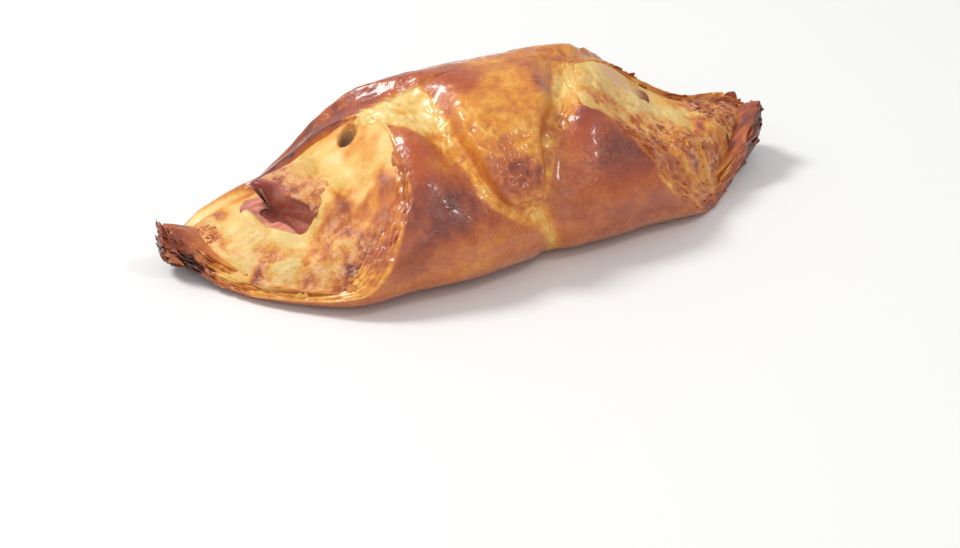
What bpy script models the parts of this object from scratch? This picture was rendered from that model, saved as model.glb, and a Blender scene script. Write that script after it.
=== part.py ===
"""A ham and cheese pocket: a square of puff pastry laid corner to corner along X, its near and far
corners folded over the filling and baked, with melted cheese and a folded slice of ham showing at
both open ends.

X runs along the pocket, from its left corner to its right one. Y points to the far side, and the
near side, where the far corner's tip is pressed down, is -Y. Z is up. Sizes are in millimetres, and
the meshes are scaled to metres as they are made.

The pastry is one sleeve. Its place round the pocket is the girth w, from 0 at the middle of the
floor to 1 over the top by the far side, and to -1 over the top by the near side.
"""

import bmesh
import bpy
import numpy as np

MM = 0.001

# The section's half-widths and height, as (x, value) points of smooth curves, and its form: where
# its widest place lies, how square its floor and its roof are, and how much of it is flat.
NEAR_WIDTH = ((-78, 5), (-72, 6.8), (-64, 17.5), (-52, 29), (-38, 36.5), (-20, 35.2), (8, 32),
              (30, 28.6), (48, 27), (58, 22), (68, 15), (78, 7))
FAR_WIDTH = ((-78, 5), (-70, 9), (-58, 14), (-44, 20), (-20, 25), (10, 26), (36, 22), (52, 15),
             (66, 10), (78, 7))
HEIGHT = ((-78, 16), (-68, 17.5), (-58, 17), (-50, 16.8), (-42, 21), (-34, 27), (-24, 32),
          (0, 33.8), (16, 33.8), (26, 33.4), (36, 30.5), (46, 24), (56, 19.5), (66, 18.5), (78, 16))
WIDEST_SHARE = 0.36
FLOOR_SQUARENESS = 0.6
ROOF_SQUARENESS = 1.12
FLOOR_SINK = 1.0
MIDDLE_WIDTH = 30.0
MIDDLE_HEIGHT = 38.0

# Where round the section, in degrees, the direction into the dough turns from up to sideways and
# from sideways to down.
LOWER_TURN = (22, 84)
UPPER_TURN = (92, 176)

# Where the dough sheet ends, as (girth, x) points.
LEFT_EDGE = ((-1, -28), (-0.89, -25.2), (-0.78, -25.2), (-0.72, -26), (-0.66, -27.5), (-0.58, -31.5),
             (-0.5, -35.5), (-0.44, -40), (-0.41, -50), (-0.38, -59), (-0.3, -66), (-0.17, -71),
             (-0.06, -74), (0, -74.5), (0.15, -74), (0.35, -71), (0.52, -64), (0.68, -53),
             (0.8, -43), (0.9, -34), (1, -28))
RIGHT_EDGE = ((-1, 25), (-0.9, 21.5), (-0.81, 19.5), (-0.78, 21), (-0.72, 25.5), (-0.64, 30),
              (-0.51, 35), (-0.44, 40), (-0.35, 47), (-0.26, 57), (-0.15, 68), (-0.07, 73),
              (0, 74), (0.3, 74.5), (0.55, 73.5), (0.68, 69), (0.77, 59), (0.85, 47), (0.91, 38),
              (0.96, 31), (1, 25))

# How ragged the cut edges are, and over what girth the two corners are twice as ragged.
RAGGED = 0.55
RAGGED_TIP = 0.08
RIPPLE_RATE = 36.0

# The dough's thickness, and what it gains at its cut edges, by girth.
WALL = 5.2
LEFT_PUFF = ((-1, 0), (-0.8, 1), (-0.45, 1.2), (-0.38, -0.4), (-0.12, -0.4), (0, 0.6), (0.15, -0.4),
             (0.4, -1), (0.9, -1), (1, 0))
RIGHT_PUFF = ((-1, 0.4), (-0.8, 0.8), (-0.4, 1.2), (-0.15, 0.8), (0, 2.2), (0.15, 0.8),
              (0.5, -0.8), (0.9, -0.8), (1, 0.4))
EDGE_PUFF_REACH = 7.0
EDGE_BULGE = 0.9
LEFT_TIP_PUFF = 3.4
RIGHT_TIP_PUFF = 4.2
TIP_SPREAD = (0.4, 0.15)
TIP_WALL = 0.2

# How far the lining runs past the crust at the cut edges, which face up and outwards, by girth.
LEFT_SLANT = ((-1, 0.5), (-0.9, 1.5), (-0.8, 3), (-0.65, 4.2), (-0.5, 5), (-0.42, 4), (-0.34, 0.5),
              (0, 0), (1, 0.5))
RIGHT_SLANT = ((-1, 0), (-0.85, 1.5), (-0.75, 6), (-0.6, 11), (-0.4, 12), (-0.25, 7), (-0.12, 2),
               (0, 0), (1, 0))

# The corners of the sheet have lifted from the floor.
LIFT = ((-78, 3.6), (-70, 2.3), (-60, 0), (58, 0), (68, 1.6), (78, 3.6))

# The far corner's flap, which lies over the near flap: its two edges, as (girth, x), and its tip.
# A shallow moat of stretched dough runs round it.
FLAP_LEFT = ((-1, -13), (-0.93, -11.4), (-0.84, -11.2), (-0.73, -10), (-0.67, -9.2), (-0.61, -7.6),
             (-0.56, -5))
FLAP_RIGHT = ((-1, 18.5), (-0.95, 17), (-0.89, 14.5), (-0.83, 12), (-0.78, 9), (-0.74, 6.8),
              (-0.69, 5.6), (-0.62, 4.4), (-0.56, 2.5))
FLAP_TIP_GIRTH = -0.57
FLAP_LEAN = 0.8
FLAP_HEIGHT = 3.2
FLAP_SLOPE = 1.8
FLAP_EASE = 4.5
FLAP_FADE = (0.95, 0.6)
MOAT_DEPTH = 1.6
MOAT_WIDTH = 4.0
MOAT_PLACE = 2.8

# The near wall's two puffed cheeks and the crease that runs down from the flap's tip between them:
# x, girth, height, reach in x and reach in girth.
CHEEKS = ((-14, -0.5, 2.4, 13, 0.17), (24, -0.5, 2.2, 12, 0.16), (-22, -0.8, 1.8, 5, 0.13),
          (21, -0.76, 1.6, 5, 0.1))
CREASE_X = 6.0
CREASE_DEPTH = 1.8
CREASE_WIDTH = 3.2
CREASE_TOP = (-0.6, -0.5)
CREASE_FOOT = (-0.28, -0.38)
NEAR_WALL = (-0.15, -0.3)
GIRTH_MM = 80.0

# Grids: steps round the pocket, along it, and across a cut edge.
AROUND = 74
ALONG = (9, 2, 9, 2, 10)
LINING_STEPS = 15
COLUMNS_OPEN = (-0.54, -0.2)
COLUMNS_CLOSE = (0.6, 0.95)
COLUMNS_APART = 20.0
ACROSS_EDGE = 3

# The clearance round the pieces inside, and the angle in radians over which an edge looks sharp.
GAP = 0.45
SHARP_ANGLE = 0.8

# The melted cheese: the height of its free surface at the middle, the near wall and the far wall,
# as (x, height) points.
CHEESE_ENDS = (-64.0, 59.0)
CHEESE_TOP = ((-70, 6), (-64, 9), (-57, 10.5), (-50, 13.5), (-44, 20), (-38, 25.5), (-32, 30),
              (-28, 33), (-24, 42), (18, 42), (24, 33), (32, 28), (38, 24), (43, 20.5), (52, 15.5),
              (60, 11))
CHEESE_NEAR = ((-70, 5), (-60, 6), (-50, 6.5), (-42, 7.5), (-36, 9.5), (-31, 14), (-27, 20), (-24, 40),
               (18, 40), (21, 30), (25, 20), (30, 14), (38, 10), (48, 8), (60, 8))
CHEESE_FAR = ((-70, 6), (-60, 9.5), (-50, 15), (-42, 21), (-34, 27), (-28, 31), (-24, 40), (18, 40),
              (28, 30), (40, 21), (52, 14), (60, 10))
CHEESE_FALL = 1.6
CHEESE_LUMPS = 0.5

# Where no roof holds the cheese down, as the places where that begins and is complete.
BARE_LEFT = (-26.0, -31.0)
BARE_RIGHT = (21.0, 26.0)
BARE_FAR = (7.0, 0.0)
BARE_NEAR = (-22.0, -14.0)
BARE_GIRTH = (0.4, 0.55)

# The cheese over the ham's upper lip: its middle, height and reaches.
MOUND = ((-46, -2), 8.5, (7, 8))
CHEESE_INTO_WALL = 1.2
CHEESE_FLOOR = 4.4
CHEESE_STEPS = 34
CHEESE_AROUND = 32
STEAM_HOLE = ((-32.0, -1.0, 26.0), (4.0, 3.4, 3.6))

# The ham: a slice folded in two, whose layers part as two lips at the left end. Each pair is the
# share across it, from its near edge to its far one, and a value there.
HAM_THICKNESS = 2.0
HAM_RIGHT = 44.0
HAM_ROUNDING = 7.0
HAM_WAVES = 0.6
HAM_LIFT = ((-57, 12.5), (-50, 12.3), (-44, 13.5), (-34, 15), (0, 17), (25, 19), (38, 22), (46, 20.5))
HAM_SPREAD = ((-57, 1), (-20, 1), (20, 0.7), (44, 0.42))
LIP_FORK = ((0, -46.5), (0.5, -45), (1, -42))
LOWER_LIP_END = ((0, -50.5), (0.4, -54.5), (0.75, -56.5), (1, -54))
UPPER_LIP_END = ((0, -47.5), (0.35, -50), (0.62, -54.5), (0.8, -52.5), (1, -48))
UPPER_LIP_RISE = ((0, 4.4), (0.3, 4.8), (0.6, 4.8), (0.8, 3.6), (1, 1))
LIP_CURL = ((0, 0), (0.4, 0.4), (1, 0.8))
FORK_LENGTH = 10.0
HAM_TILT = ((0, -2.6), (0.35, -0.6), (0.62, 0.4), (1, -1.4))
HAM_NEAR = -14.6
HAM_FAR = 6.0
HAM_ACROSS = 12
HAM_STEPS = 20
LIP_STEPS = 7
LIP_CURL_LENGTH = 5.0
MOUTH = ((-60.0, -6.0, 17.5), (8.0, 13.0, 6.0))
MOUTH_BACK = ((-54.0, -5.0, 15.2), (9.0, 11.0, 3.5))


def along(points, x):
    """The smooth curve through (position, value) points, which never overshoots them."""
    place, value = np.array(points, float).T
    step = np.diff(place)
    rise = np.diff(value) / step
    slope = np.concatenate([rise[:1], np.zeros(len(place) - 2), rise[-1:]])
    turns = rise[:-1] * rise[1:] <= 0
    mean = 2 * rise[:-1] * rise[1:] / np.where(turns, 1, rise[:-1] + rise[1:])
    slope[1:-1] = np.where(turns, 0, mean)
    k = np.clip(np.searchsorted(place, x) - 1, 0, len(step) - 1)
    t = np.clip((x - place[k]) / step[k], 0, 1)
    start = (1 + 2 * t) * (1 - t) ** 2 * value[k] + t * (1 - t) ** 2 * step[k] * slope[k]
    end = t * t * (3 - 2 * t) * value[k + 1] + t * t * (t - 1) * step[k] * slope[k + 1]
    return start + end


def smooth(value, low, high):
    """0 below low, 1 above high and a smooth step between. Low may be the greater."""
    t = np.clip((value - low) / (high - low), 0, 1)
    return t * t * (3 - 2 * t)


def ripple(place, seed, count=5):
    """An uneven wave of about -1 to 1, the sum of a few seeded sines."""
    draw = np.random.default_rng(seed)
    waves = zip(draw.uniform(0.6, 2.4, count), draw.uniform(0, 6.28, count))
    return sum(np.sin(rate * place + start) for rate, start in waves) / count * 1.4


def section_angle(w):
    """The section's angle at girth w, from 0 at the floor to pi at the top, evenly along its length."""
    angle = np.linspace(0, np.pi, 241)
    y, z = section_shape(angle)
    steps = np.hypot(np.diff(MIDDLE_WIDTH * y), np.diff(MIDDLE_HEIGHT * z))
    length = np.concatenate([[0], np.cumsum(steps)])
    return np.interp(np.abs(w), length / length[-1], angle)


def section_shape(angle):
    """The section's form: y as a share of the half-width and z as a share of the height."""
    s, c = np.abs(np.sin(angle)), np.cos(angle)
    y = s ** np.where(c > 0, FLOOR_SQUARENESS, ROOF_SQUARENESS)
    low = WIDEST_SHARE * (1 - np.abs(c) ** FLOOR_SQUARENESS)
    high = WIDEST_SHARE + (1 - WIDEST_SHARE) * np.abs(c) ** ROOF_SQUARENESS
    return y, np.where(c > 0, low, high)


def flap_cover(w, x):
    """How far the point is inside the upper flap's outline, in millimetres, negative outside it."""
    inside = np.minimum(x - along(FLAP_LEFT, w), along(FLAP_RIGHT, w) - x) * FLAP_LEAN
    inside = np.minimum(inside, (FLAP_TIP_GIRTH - w) * GIRTH_MM)
    at_ridge = np.minimum(x - FLAP_LEFT[0][1], FLAP_RIGHT[0][1] - x) * FLAP_LEAN
    return np.where(w > 0, at_ridge + (1 - w) * GIRTH_MM, inside)


def relief(w, x):
    """How far the crust stands out from the plain section, in millimetres."""
    cover = flap_cover(w, x)
    half = FLAP_SLOPE / 2 + FLAP_EASE * smooth(np.abs(w), 0.8, 0.98)
    raised = FLAP_HEIGHT * smooth(cover, -half, half)
    raised = raised * np.where(w > 0, smooth(w, FLAP_FADE[1], FLAP_FADE[0]), 1)
    near = smooth(w, *NEAR_WALL)
    moat = MOAT_DEPTH * np.exp(-(((cover + MOAT_PLACE) / MOAT_WIDTH) ** 2))
    total = raised - moat * np.where(w > 0, 0, near)
    for at_x, at_w, height, reach_x, reach_w in CHEEKS:
        bump = height * np.exp(-(((x - at_x) / reach_x) ** 2) - ((w - at_w) / reach_w) ** 2)
        total = total + bump * (1 - smooth(cover, -2, 1)) * near
    crease = CREASE_DEPTH * np.exp(-(((x - CREASE_X) / CREASE_WIDTH) ** 2))
    span = smooth(w, *CREASE_TOP) * smooth(w, *CREASE_FOOT) * (w < 0)
    return total - crease * span


def wrap_point(w, x, depth):
    """A point of the dough at girth w, as deep as asked under the plain crust."""
    angle = section_angle(w)
    side = np.where(w < 0, -1.0, 1.0)
    share_y, share_z = section_shape(angle)
    width = np.where(w < 0, along(NEAR_WIDTH, x), along(FAR_WIDTH, x))
    height = along(HEIGHT, x)
    y = side * width * share_y
    z = np.maximum(share_z * (height + FLOOR_SINK) - FLOOR_SINK, 0) + along(LIFT, x)
    degrees = np.degrees(angle)
    turn = np.pi / 2 * (smooth(degrees, *LOWER_TURN) + smooth(degrees, *UPPER_TURN))
    return y - side * depth * np.sin(turn), z + depth * np.cos(turn)


def edge_x(w, outline, seed):
    """Where the sheet's ragged cut edge lies at girth w."""
    tip = np.exp(-((w / RAGGED_TIP) ** 2))
    return along(outline, w) + RAGGED * (1 + tip) * ripple(w * RIPPLE_RATE, seed)


def thickness(w, x):
    """The dough's thickness: a wall that puffs up or thins at its cut edges and at the corners."""
    from_left = np.maximum(x - along(LEFT_EDGE, w), 0) / EDGE_PUFF_REACH
    from_right = np.maximum(along(RIGHT_EDGE, w) - x, 0) / EDGE_PUFF_REACH
    puffed = along(LEFT_PUFF, w) * np.exp(-(from_left**2))
    puffed = puffed + along(RIGHT_PUFF, w) * np.exp(-(from_right**2))
    ends = LEFT_TIP_PUFF * smooth(x, -58, -76) + RIGHT_TIP_PUFF * smooth(x, 50, 70)
    return WALL + puffed + ends * (TIP_WALL + (1 - TIP_WALL) * smooth(np.abs(w), *TIP_SPREAD))


def columns(w, left, right, steps):
    """Places along the crust, gathered at the upper flap's two edges. Steps are for the five parts
    between the ends and the foot and crest of each edge."""
    open_up = smooth(w, *COLUMNS_OPEN) * (1 - smooth(w, *COLUMNS_CLOSE))
    half = FLAP_SLOPE / 2 / FLAP_LEAN
    flap_left = along(FLAP_LEFT, w) * (1 - open_up) - COLUMNS_APART * open_up
    flap_right = along(FLAP_RIGHT, w) * (1 - open_up) + COLUMNS_APART * open_up
    stops = [left, flap_left - half, flap_left + half, flap_right - half, flap_right + half, right]
    part_shares = np.array([0, 0.25, 0.3, 0.7, 0.75, 1])
    low = left + part_shares * (right - left) / 2
    high = right - (1 - part_shares) * (right - left) / 2
    parts = []
    for k, count in enumerate(steps):
        start = np.clip(stops[k], low[:, k, None], high[:, k, None])
        end = np.clip(stops[k + 1], low[:, k + 1, None], high[:, k + 1, None])
        share = np.arange(count + (k == len(steps) - 1)) / count
        parts.append(start + (end - start) * share)
    return np.concatenate(parts, axis=1)


def sleeve(around, crust_steps, lining_steps, edge_steps):
    """The dough as rings of points round its wall: crust, right edge, inner face and left edge."""
    w = np.linspace(-1, 1, around, endpoint=False)[:, None]
    left, right = edge_x(w, LEFT_EDGE, 3), edge_x(w, RIGHT_EDGE, 8)
    x = columns(w, left, right, crust_steps)
    y, z = wrap_point(w, x, -relief(w, x))
    crust = np.stack([x, y, np.maximum(z, 0)], -1)
    start, end = right + along(RIGHT_SLANT, w), left - along(LEFT_SLANT, w)
    share = (1 - np.cos(np.linspace(0, np.pi, lining_steps + 1))) / 2
    x = start + (end - start) * share
    y, z = wrap_point(w, x, thickness(w, x))
    lining = np.stack([x, y, z], -1)
    t = np.linspace(0, 1, edge_steps + 2)[1:-1]

    def cut_edge(start, end, way):
        face = start[:, None] + (end - start)[:, None] * t[:, None]
        face[..., 0] += way * EDGE_BULGE * np.sin(np.pi * t)
        return face

    right_edge = cut_edge(crust[:, -1], lining[:, 0], 1)
    left_edge = cut_edge(lining[:, -1], crust[:, 0], -1)
    return np.concatenate([crust, right_edge, lining, left_edge], axis=1)


def free_surface(x, y):
    """The height of the melted cheese where nothing covers it."""
    near = y < 0
    reach = np.where(near, along(NEAR_WIDTH, x), along(FAR_WIDTH, x)) - WALL / 2
    side = np.where(near, along(CHEESE_NEAR, x), along(CHEESE_FAR, x))
    top = along(CHEESE_TOP, x)
    lumps = CHEESE_LUMPS * np.sin(0.45 * x + 0.3 * y) * np.cos(0.5 * y - 0.2 * x)
    (mound_x, mound_y), height, (reach_x, reach_y) = MOUND
    mound = height * np.exp(-(((x - mound_x) / reach_x) ** 2) - ((y - mound_y) / reach_y) ** 2)
    return top + (side - top) * np.clip(np.abs(y) / reach, 0, 1) ** CHEESE_FALL + lumps + mound


def cheese_rings():
    """The cheese as rings round X, each a section of the cavity cut off at the free surface."""
    x = np.linspace(*CHEESE_ENDS, CHEESE_STEPS)[:, None]
    w = np.linspace(-1, 1, CHEESE_AROUND, endpoint=False)
    y, z = wrap_point(w, x, thickness(w, x) - CHEESE_INTO_WALL)
    free = free_surface(x, y)
    bare = smooth(x, *BARE_LEFT) * smooth(y, *BARE_FAR)
    bare = bare + smooth(x, *BARE_RIGHT) * smooth(y, *BARE_NEAR)
    z = np.minimum(z, free)
    z = np.maximum(z + (free - z) * bare * smooth(np.abs(w), *BARE_GIRTH), CHEESE_FLOOR)
    return np.stack([x + 0 * y, y, z], -1)


def ham_outline(across):
    """The ham's side view at a place across it, from 0 at the near edge to 1 at the far one."""
    half = HAM_THICKNESS / 2
    lower_end, upper_end = along(LOWER_LIP_END, across), along(UPPER_LIP_END, across)
    right_end = HAM_RIGHT - HAM_ROUNDING * (2 * across - 1) ** 2
    fork = along(LIP_FORK, across)
    spread = along(UPPER_LIP_RISE, across)
    droop = along(LIP_CURL, across)

    def bed(x):
        waves = HAM_WAVES * np.sin(0.16 * x + 2.5 * across)
        return along(HAM_LIFT, x) + along(HAM_TILT, across) + waves

    def roof(x):
        rise = HAM_THICKNESS + spread * smooth(x, fork + FORK_LENGTH, fork)
        return bed(x) + rise - droop * smooth(x, upper_end + LIP_CURL_LENGTH, upper_end)

    low = np.linspace(right_end, lower_end, HAM_STEPS)
    mouth_low = np.linspace(lower_end, fork, LIP_STEPS)[1:]
    mouth_high = np.linspace(fork, upper_end, LIP_STEPS)[1:]
    high = np.linspace(upper_end, right_end, HAM_STEPS)
    return np.concatenate([
        np.stack([low, bed(low) - half], -1),
        np.stack([mouth_low, bed(mouth_low) + half], -1),
        np.stack([mouth_high, roof(mouth_high) - half], -1),
        np.stack([high, roof(high) + half], -1),
    ])


def ham_rings():
    """The ham as side views set side by side from its near edge to its far one."""
    rings = []
    for across in np.linspace(0, 1, HAM_ACROSS):
        outline = ham_outline(across)
        y = (HAM_NEAR + (HAM_FAR - HAM_NEAR) * across) * along(HAM_SPREAD, outline[:, 0])
        rings.append(np.stack([outline[:, 0], y, outline[:, 1]], -1))
    return np.array(rings)


def clear_scene():
    for obj in list(bpy.data.objects):
        bpy.data.objects.remove(obj)


def loft(name, rings, wrap):
    """A closed mesh of quads through rings of points. It joins the last ring to the first if wrap is
    true, and otherwise closes both end rings with a face."""
    count, size = rings.shape[:2]
    mesh = bpy.data.meshes.new(name)
    faces = []
    for i in range(count if wrap else count - 1):
        for j in range(size):
            here, there = i * size, (i + 1) % count * size
            after = (j + 1) % size
            faces.append((here + j, there + j, there + after, here + after))
    if not wrap:
        faces.append(tuple(range(size)))
        faces.append(tuple(range((count - 1) * size, count * size)))
    mesh.from_pydata((rings.reshape(-1, 3) * MM).tolist(), [], faces)
    shape = bmesh.new()
    shape.from_mesh(mesh)
    bmesh.ops.triangulate(shape, faces=shape.faces)
    bmesh.ops.recalc_face_normals(shape, faces=shape.faces)
    shape.to_mesh(mesh)
    shape.free()
    return bpy.data.objects.new(name, mesh)


def ball(name, centre, radii):
    mesh = bpy.data.meshes.new(name)
    shape = bmesh.new()
    bmesh.ops.create_uvsphere(shape, u_segments=20, v_segments=12, radius=1)
    bmesh.ops.scale(shape, vec=[r * MM for r in radii], verts=shape.verts)
    bmesh.ops.translate(shape, vec=[c * MM for c in centre], verts=shape.verts)
    shape.to_mesh(mesh)
    shape.free()
    return bpy.data.objects.new(name, mesh)


def grown(name, source):
    """A copy of the source, larger by the gap all over, as a cutter."""
    copy = bpy.data.objects.new(name, source.data.copy())
    swell = copy.modifiers.new("gap", "DISPLACE")
    swell.mid_level = 0
    swell.strength = GAP * MM
    return copy


def cut(target, cutters):
    """Cuts each cutter from the target, then drops any loose scrap."""
    for cutter in cutters:
        cutter.hide_render = True
        cutter.display_type = "WIRE"
        modifier = target.modifiers.new("cut_" + cutter.name, "BOOLEAN")
        modifier.operation = "DIFFERENCE"
        modifier.solver = "MANIFOLD"
        modifier.object = cutter
    bpy.context.view_layer.update()
    whole = target.evaluated_get(bpy.context.evaluated_depsgraph_get())
    mesh = bpy.data.meshes.new_from_object(whole)
    target.modifiers.clear()
    target.data = mesh
    keep_largest(mesh)


def keep_largest(mesh):
    """Keeps the faces that are joined edge to edge into the largest piece."""
    shape = bmesh.new()
    shape.from_mesh(mesh)
    left, pieces = set(shape.faces), []
    while left:
        piece, front = [], [left.pop()]
        while front:
            face = front.pop()
            piece.append(face)
            beside = {other for edge in face.edges for other in edge.link_faces} & left
            left -= beside
            front.extend(beside)
        pieces.append(piece)
    pieces.sort(key=len)
    scraps = [face for piece in pieces[:-1] for face in piece]
    bmesh.ops.delete(shape, geom=scraps, context="FACES")
    shape.to_mesh(mesh)
    shape.free()


def finish(name, colour, roughness):
    material = bpy.data.materials.new(name)
    material.use_nodes = True
    shader = material.node_tree.nodes["Principled BSDF"]
    shader.inputs["Base Color"].default_value = (*colour, 1)
    shader.inputs["Roughness"].default_value = roughness
    shader.inputs["Metallic"].default_value = 0
    return material


def place(obj, collection, material):
    collection.objects.link(obj)
    if material:
        obj.data.materials.clear()
        obj.data.materials.append(material)
    obj.data.shade_smooth()
    obj.data.set_sharp_from_angle(angle=SHARP_ANGLE)


def main():
    clear_scene()
    pocket = bpy.data.collections.new("ham_and_cheese_pocket")
    cutters = bpy.data.collections.new("cutters")
    for collection in (pocket, cutters):
        bpy.context.scene.collection.children.link(collection)

    pastry = loft("pastry", sleeve(AROUND, ALONG, LINING_STEPS, ACROSS_EDGE), True)
    ham = loft("ham", ham_rings(), False)
    cheese = loft("cheese", cheese_rings(), False)
    place(pastry, pocket, finish("baked_crust", (0.55, 0.24, 0.06), 0.35))
    place(ham, pocket, finish("ham_pink", (0.62, 0.22, 0.18), 0.4))
    place(cheese, pocket, finish("melted_cheese", (0.85, 0.6, 0.2), 0.4))

    tools = [
        grown("cavity_wall", pastry),
        grown("ham_slot", ham),
        ball("mouth", *MOUTH),
        ball("mouth_back", *MOUTH_BACK),
        ball("steam_hole", *STEAM_HOLE),
    ]
    for tool in tools:
        place(tool, cutters, None)
    cut(cheese, tools)


main()
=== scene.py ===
"""The looks of a ham and cheese pocket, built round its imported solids.

A square of puff pastry lies corner to corner along X with its near and far corners folded over the
filling. Its crust, cut edges and lining are one fine surface; the melted cheese, the folded ham and
the loose flakes are pieces of their own. Sizes are in millimetres, and meshes are scaled to metres
as they are made. The girth w is a place round the sleeve of dough: 0 at the middle of the floor, 1
over the top by the far side and -1 over the top by the near side.
"""

import itertools
import math

import bpy
import numpy as np
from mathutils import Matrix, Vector


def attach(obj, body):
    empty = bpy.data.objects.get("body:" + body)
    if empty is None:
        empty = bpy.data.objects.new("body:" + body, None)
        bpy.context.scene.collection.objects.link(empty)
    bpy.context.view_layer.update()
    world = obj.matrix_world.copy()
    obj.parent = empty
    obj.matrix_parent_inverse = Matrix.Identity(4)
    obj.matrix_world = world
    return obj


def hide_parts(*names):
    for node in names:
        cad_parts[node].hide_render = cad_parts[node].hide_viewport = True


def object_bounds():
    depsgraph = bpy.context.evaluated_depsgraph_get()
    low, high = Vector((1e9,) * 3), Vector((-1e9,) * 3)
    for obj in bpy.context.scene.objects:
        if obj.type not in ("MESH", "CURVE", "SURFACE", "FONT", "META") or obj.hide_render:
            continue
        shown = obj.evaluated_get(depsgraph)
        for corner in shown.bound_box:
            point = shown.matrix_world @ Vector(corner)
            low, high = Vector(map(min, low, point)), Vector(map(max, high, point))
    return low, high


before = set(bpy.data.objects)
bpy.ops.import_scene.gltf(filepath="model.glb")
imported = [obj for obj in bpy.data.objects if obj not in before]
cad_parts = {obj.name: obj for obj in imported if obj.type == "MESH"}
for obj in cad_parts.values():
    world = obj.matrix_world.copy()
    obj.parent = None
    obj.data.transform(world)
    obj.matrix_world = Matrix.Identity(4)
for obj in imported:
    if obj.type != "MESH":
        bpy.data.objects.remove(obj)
CAD_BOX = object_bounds()
MM = 0.001

# The dough's section along X, as in the solids: half-widths and height as (x, value) points.
NEAR_WIDTH = ((-78, 5), (-72, 6.8), (-64, 17.5), (-52, 29), (-38, 36.5), (-20, 35.2), (8, 32),
              (30, 28.6), (48, 27), (58, 22), (68, 15), (78, 7))
FAR_WIDTH = ((-78, 5), (-70, 9), (-58, 14), (-44, 20), (-20, 25), (10, 26), (36, 22), (52, 15),
             (66, 10), (78, 7))
HEIGHT = ((-78, 16), (-68, 17.5), (-58, 17), (-50, 16.8), (-42, 21), (-34, 27), (-24, 32),
          (0, 33.8), (16, 33.8), (26, 33.4), (36, 30.5), (46, 24), (56, 19.5), (66, 18.5), (78, 16))
WIDEST_SHARE = 0.36
FLOOR_SQUARENESS = 0.6
ROOF_SQUARENESS = 1.12
FLOOR_SINK = 1.0
MIDDLE_WIDTH = 30.0
MIDDLE_HEIGHT = 38.0
LOWER_TURN = (22, 84)
UPPER_TURN = (92, 176)

# Where the sheet of dough ends, as (girth, x) points, and how ragged those cut edges are.
LEFT_EDGE = ((-1, -28), (-0.89, -25.2), (-0.78, -25.2), (-0.72, -26), (-0.66, -27.5), (-0.58, -31.5),
             (-0.5, -35.5), (-0.44, -40), (-0.41, -50), (-0.38, -59), (-0.3, -66), (-0.17, -71),
             (-0.06, -74), (0, -74.5), (0.15, -74), (0.35, -71), (0.52, -64), (0.68, -53),
             (0.8, -43), (0.9, -34), (1, -28))
RIGHT_EDGE = ((-1, 25), (-0.9, 21.5), (-0.81, 19.5), (-0.78, 21), (-0.72, 25.5), (-0.64, 30),
              (-0.51, 35), (-0.44, 40), (-0.35, 47), (-0.26, 57), (-0.15, 68), (-0.07, 73),
              (0, 74), (0.3, 74.5), (0.55, 73.5), (0.68, 69), (0.77, 59), (0.85, 47), (0.91, 38),
              (0.96, 31), (1, 25))
RAGGED = 0.55
RAGGED_TIP = 0.08
RIPPLE_RATE = 36.0

# The dough's thickness, and what it gains at its cut edges, by girth.
WALL = 5.2
LEFT_PUFF = ((-1, 0), (-0.8, 1), (-0.45, 1.2), (-0.38, -0.4), (-0.12, -0.4), (0, 0.6), (0.15, -0.4),
             (0.4, -1), (0.9, -1), (1, 0))
RIGHT_PUFF = ((-1, 0.4), (-0.8, 0.8), (-0.4, 1.2), (-0.15, 0.8), (0, 2.2), (0.15, 0.8),
              (0.5, -0.8), (0.9, -0.8), (1, 0.4))
EDGE_PUFF_REACH = 7.0
EDGE_BULGE = 0.9
LEFT_TIP_PUFF = 3.4
RIGHT_TIP_PUFF = 4.2
LEFT_TIP_FROM = (-58, -76)
RIGHT_TIP_FROM = (50, 70)
TIP_SPREAD = (0.4, 0.15)
TIP_WALL = 0.2
LEFT_SLANT = ((-1, 0.5), (-0.9, 1.5), (-0.8, 3), (-0.65, 4.2), (-0.5, 5), (-0.42, 4), (-0.34, 0.5),
              (0, 0), (1, 0.5))
RIGHT_SLANT = ((-1, 0), (-0.85, 1.5), (-0.75, 6), (-0.6, 11), (-0.4, 12), (-0.25, 7), (-0.12, 2),
               (0, 0), (1, 0))
LIFT = ((-78, 3.6), (-70, 2.3), (-60, 0), (58, 0), (68, 1.6), (78, 3.6))

# The far corner's flap over the near one, and the moat of stretched dough round it.
FLAP_LEFT = ((-1, -13), (-0.93, -11.4), (-0.84, -11.2), (-0.73, -10), (-0.67, -9.2), (-0.61, -7.6),
             (-0.56, -5))
FLAP_RIGHT = ((-1, 18.5), (-0.95, 17), (-0.89, 14.5), (-0.83, 12), (-0.78, 9), (-0.74, 6.8),
              (-0.69, 5.6), (-0.62, 4.4), (-0.56, 2.5))
FLAP_TIP_GIRTH = -0.57
FLAP_LEAN = 0.8
FLAP_HEIGHT = 3.2
FLAP_SLOPE = 1.8
FLAP_EASE = 4.5
FLAP_EASE_GIRTH = (0.8, 0.98)
FLAP_FADE = (0.95, 0.6)
MOAT_DEPTH = 1.6
MOAT_WIDTH = 4.0
MOAT_PLACE = 2.8
MOAT_TOP = (-1.0, -0.94)

# The near wall's puffed cheeks, as x, girth, height and reaches, where they stop at the flap, and the
# crease between them.
CHEEKS = ((-14, -0.5, 2.4, 13, 0.17), (24, -0.5, 2.2, 12, 0.16), (-22, -0.8, 1.8, 5, 0.13),
          (21, -0.76, 1.6, 5, 0.1))
CHEEK_STOP = (-2, 1)
CREASE_X = 6.0
CREASE_DEPTH = 1.8
CREASE_WIDTH = 3.2
CREASE_TOP = (-0.6, -0.5)
CREASE_FOOT = (-0.28, -0.38)
NEAR_WALL = (-0.15, -0.3)
GIRTH_MM = 80.0

# Columns of the crust's grid gather at the flap's edges.
COLUMNS_OPEN = (-0.54, -0.2)
COLUMNS_CLOSE = (0.6, 0.95)
COLUMNS_APART = 20.0

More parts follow.
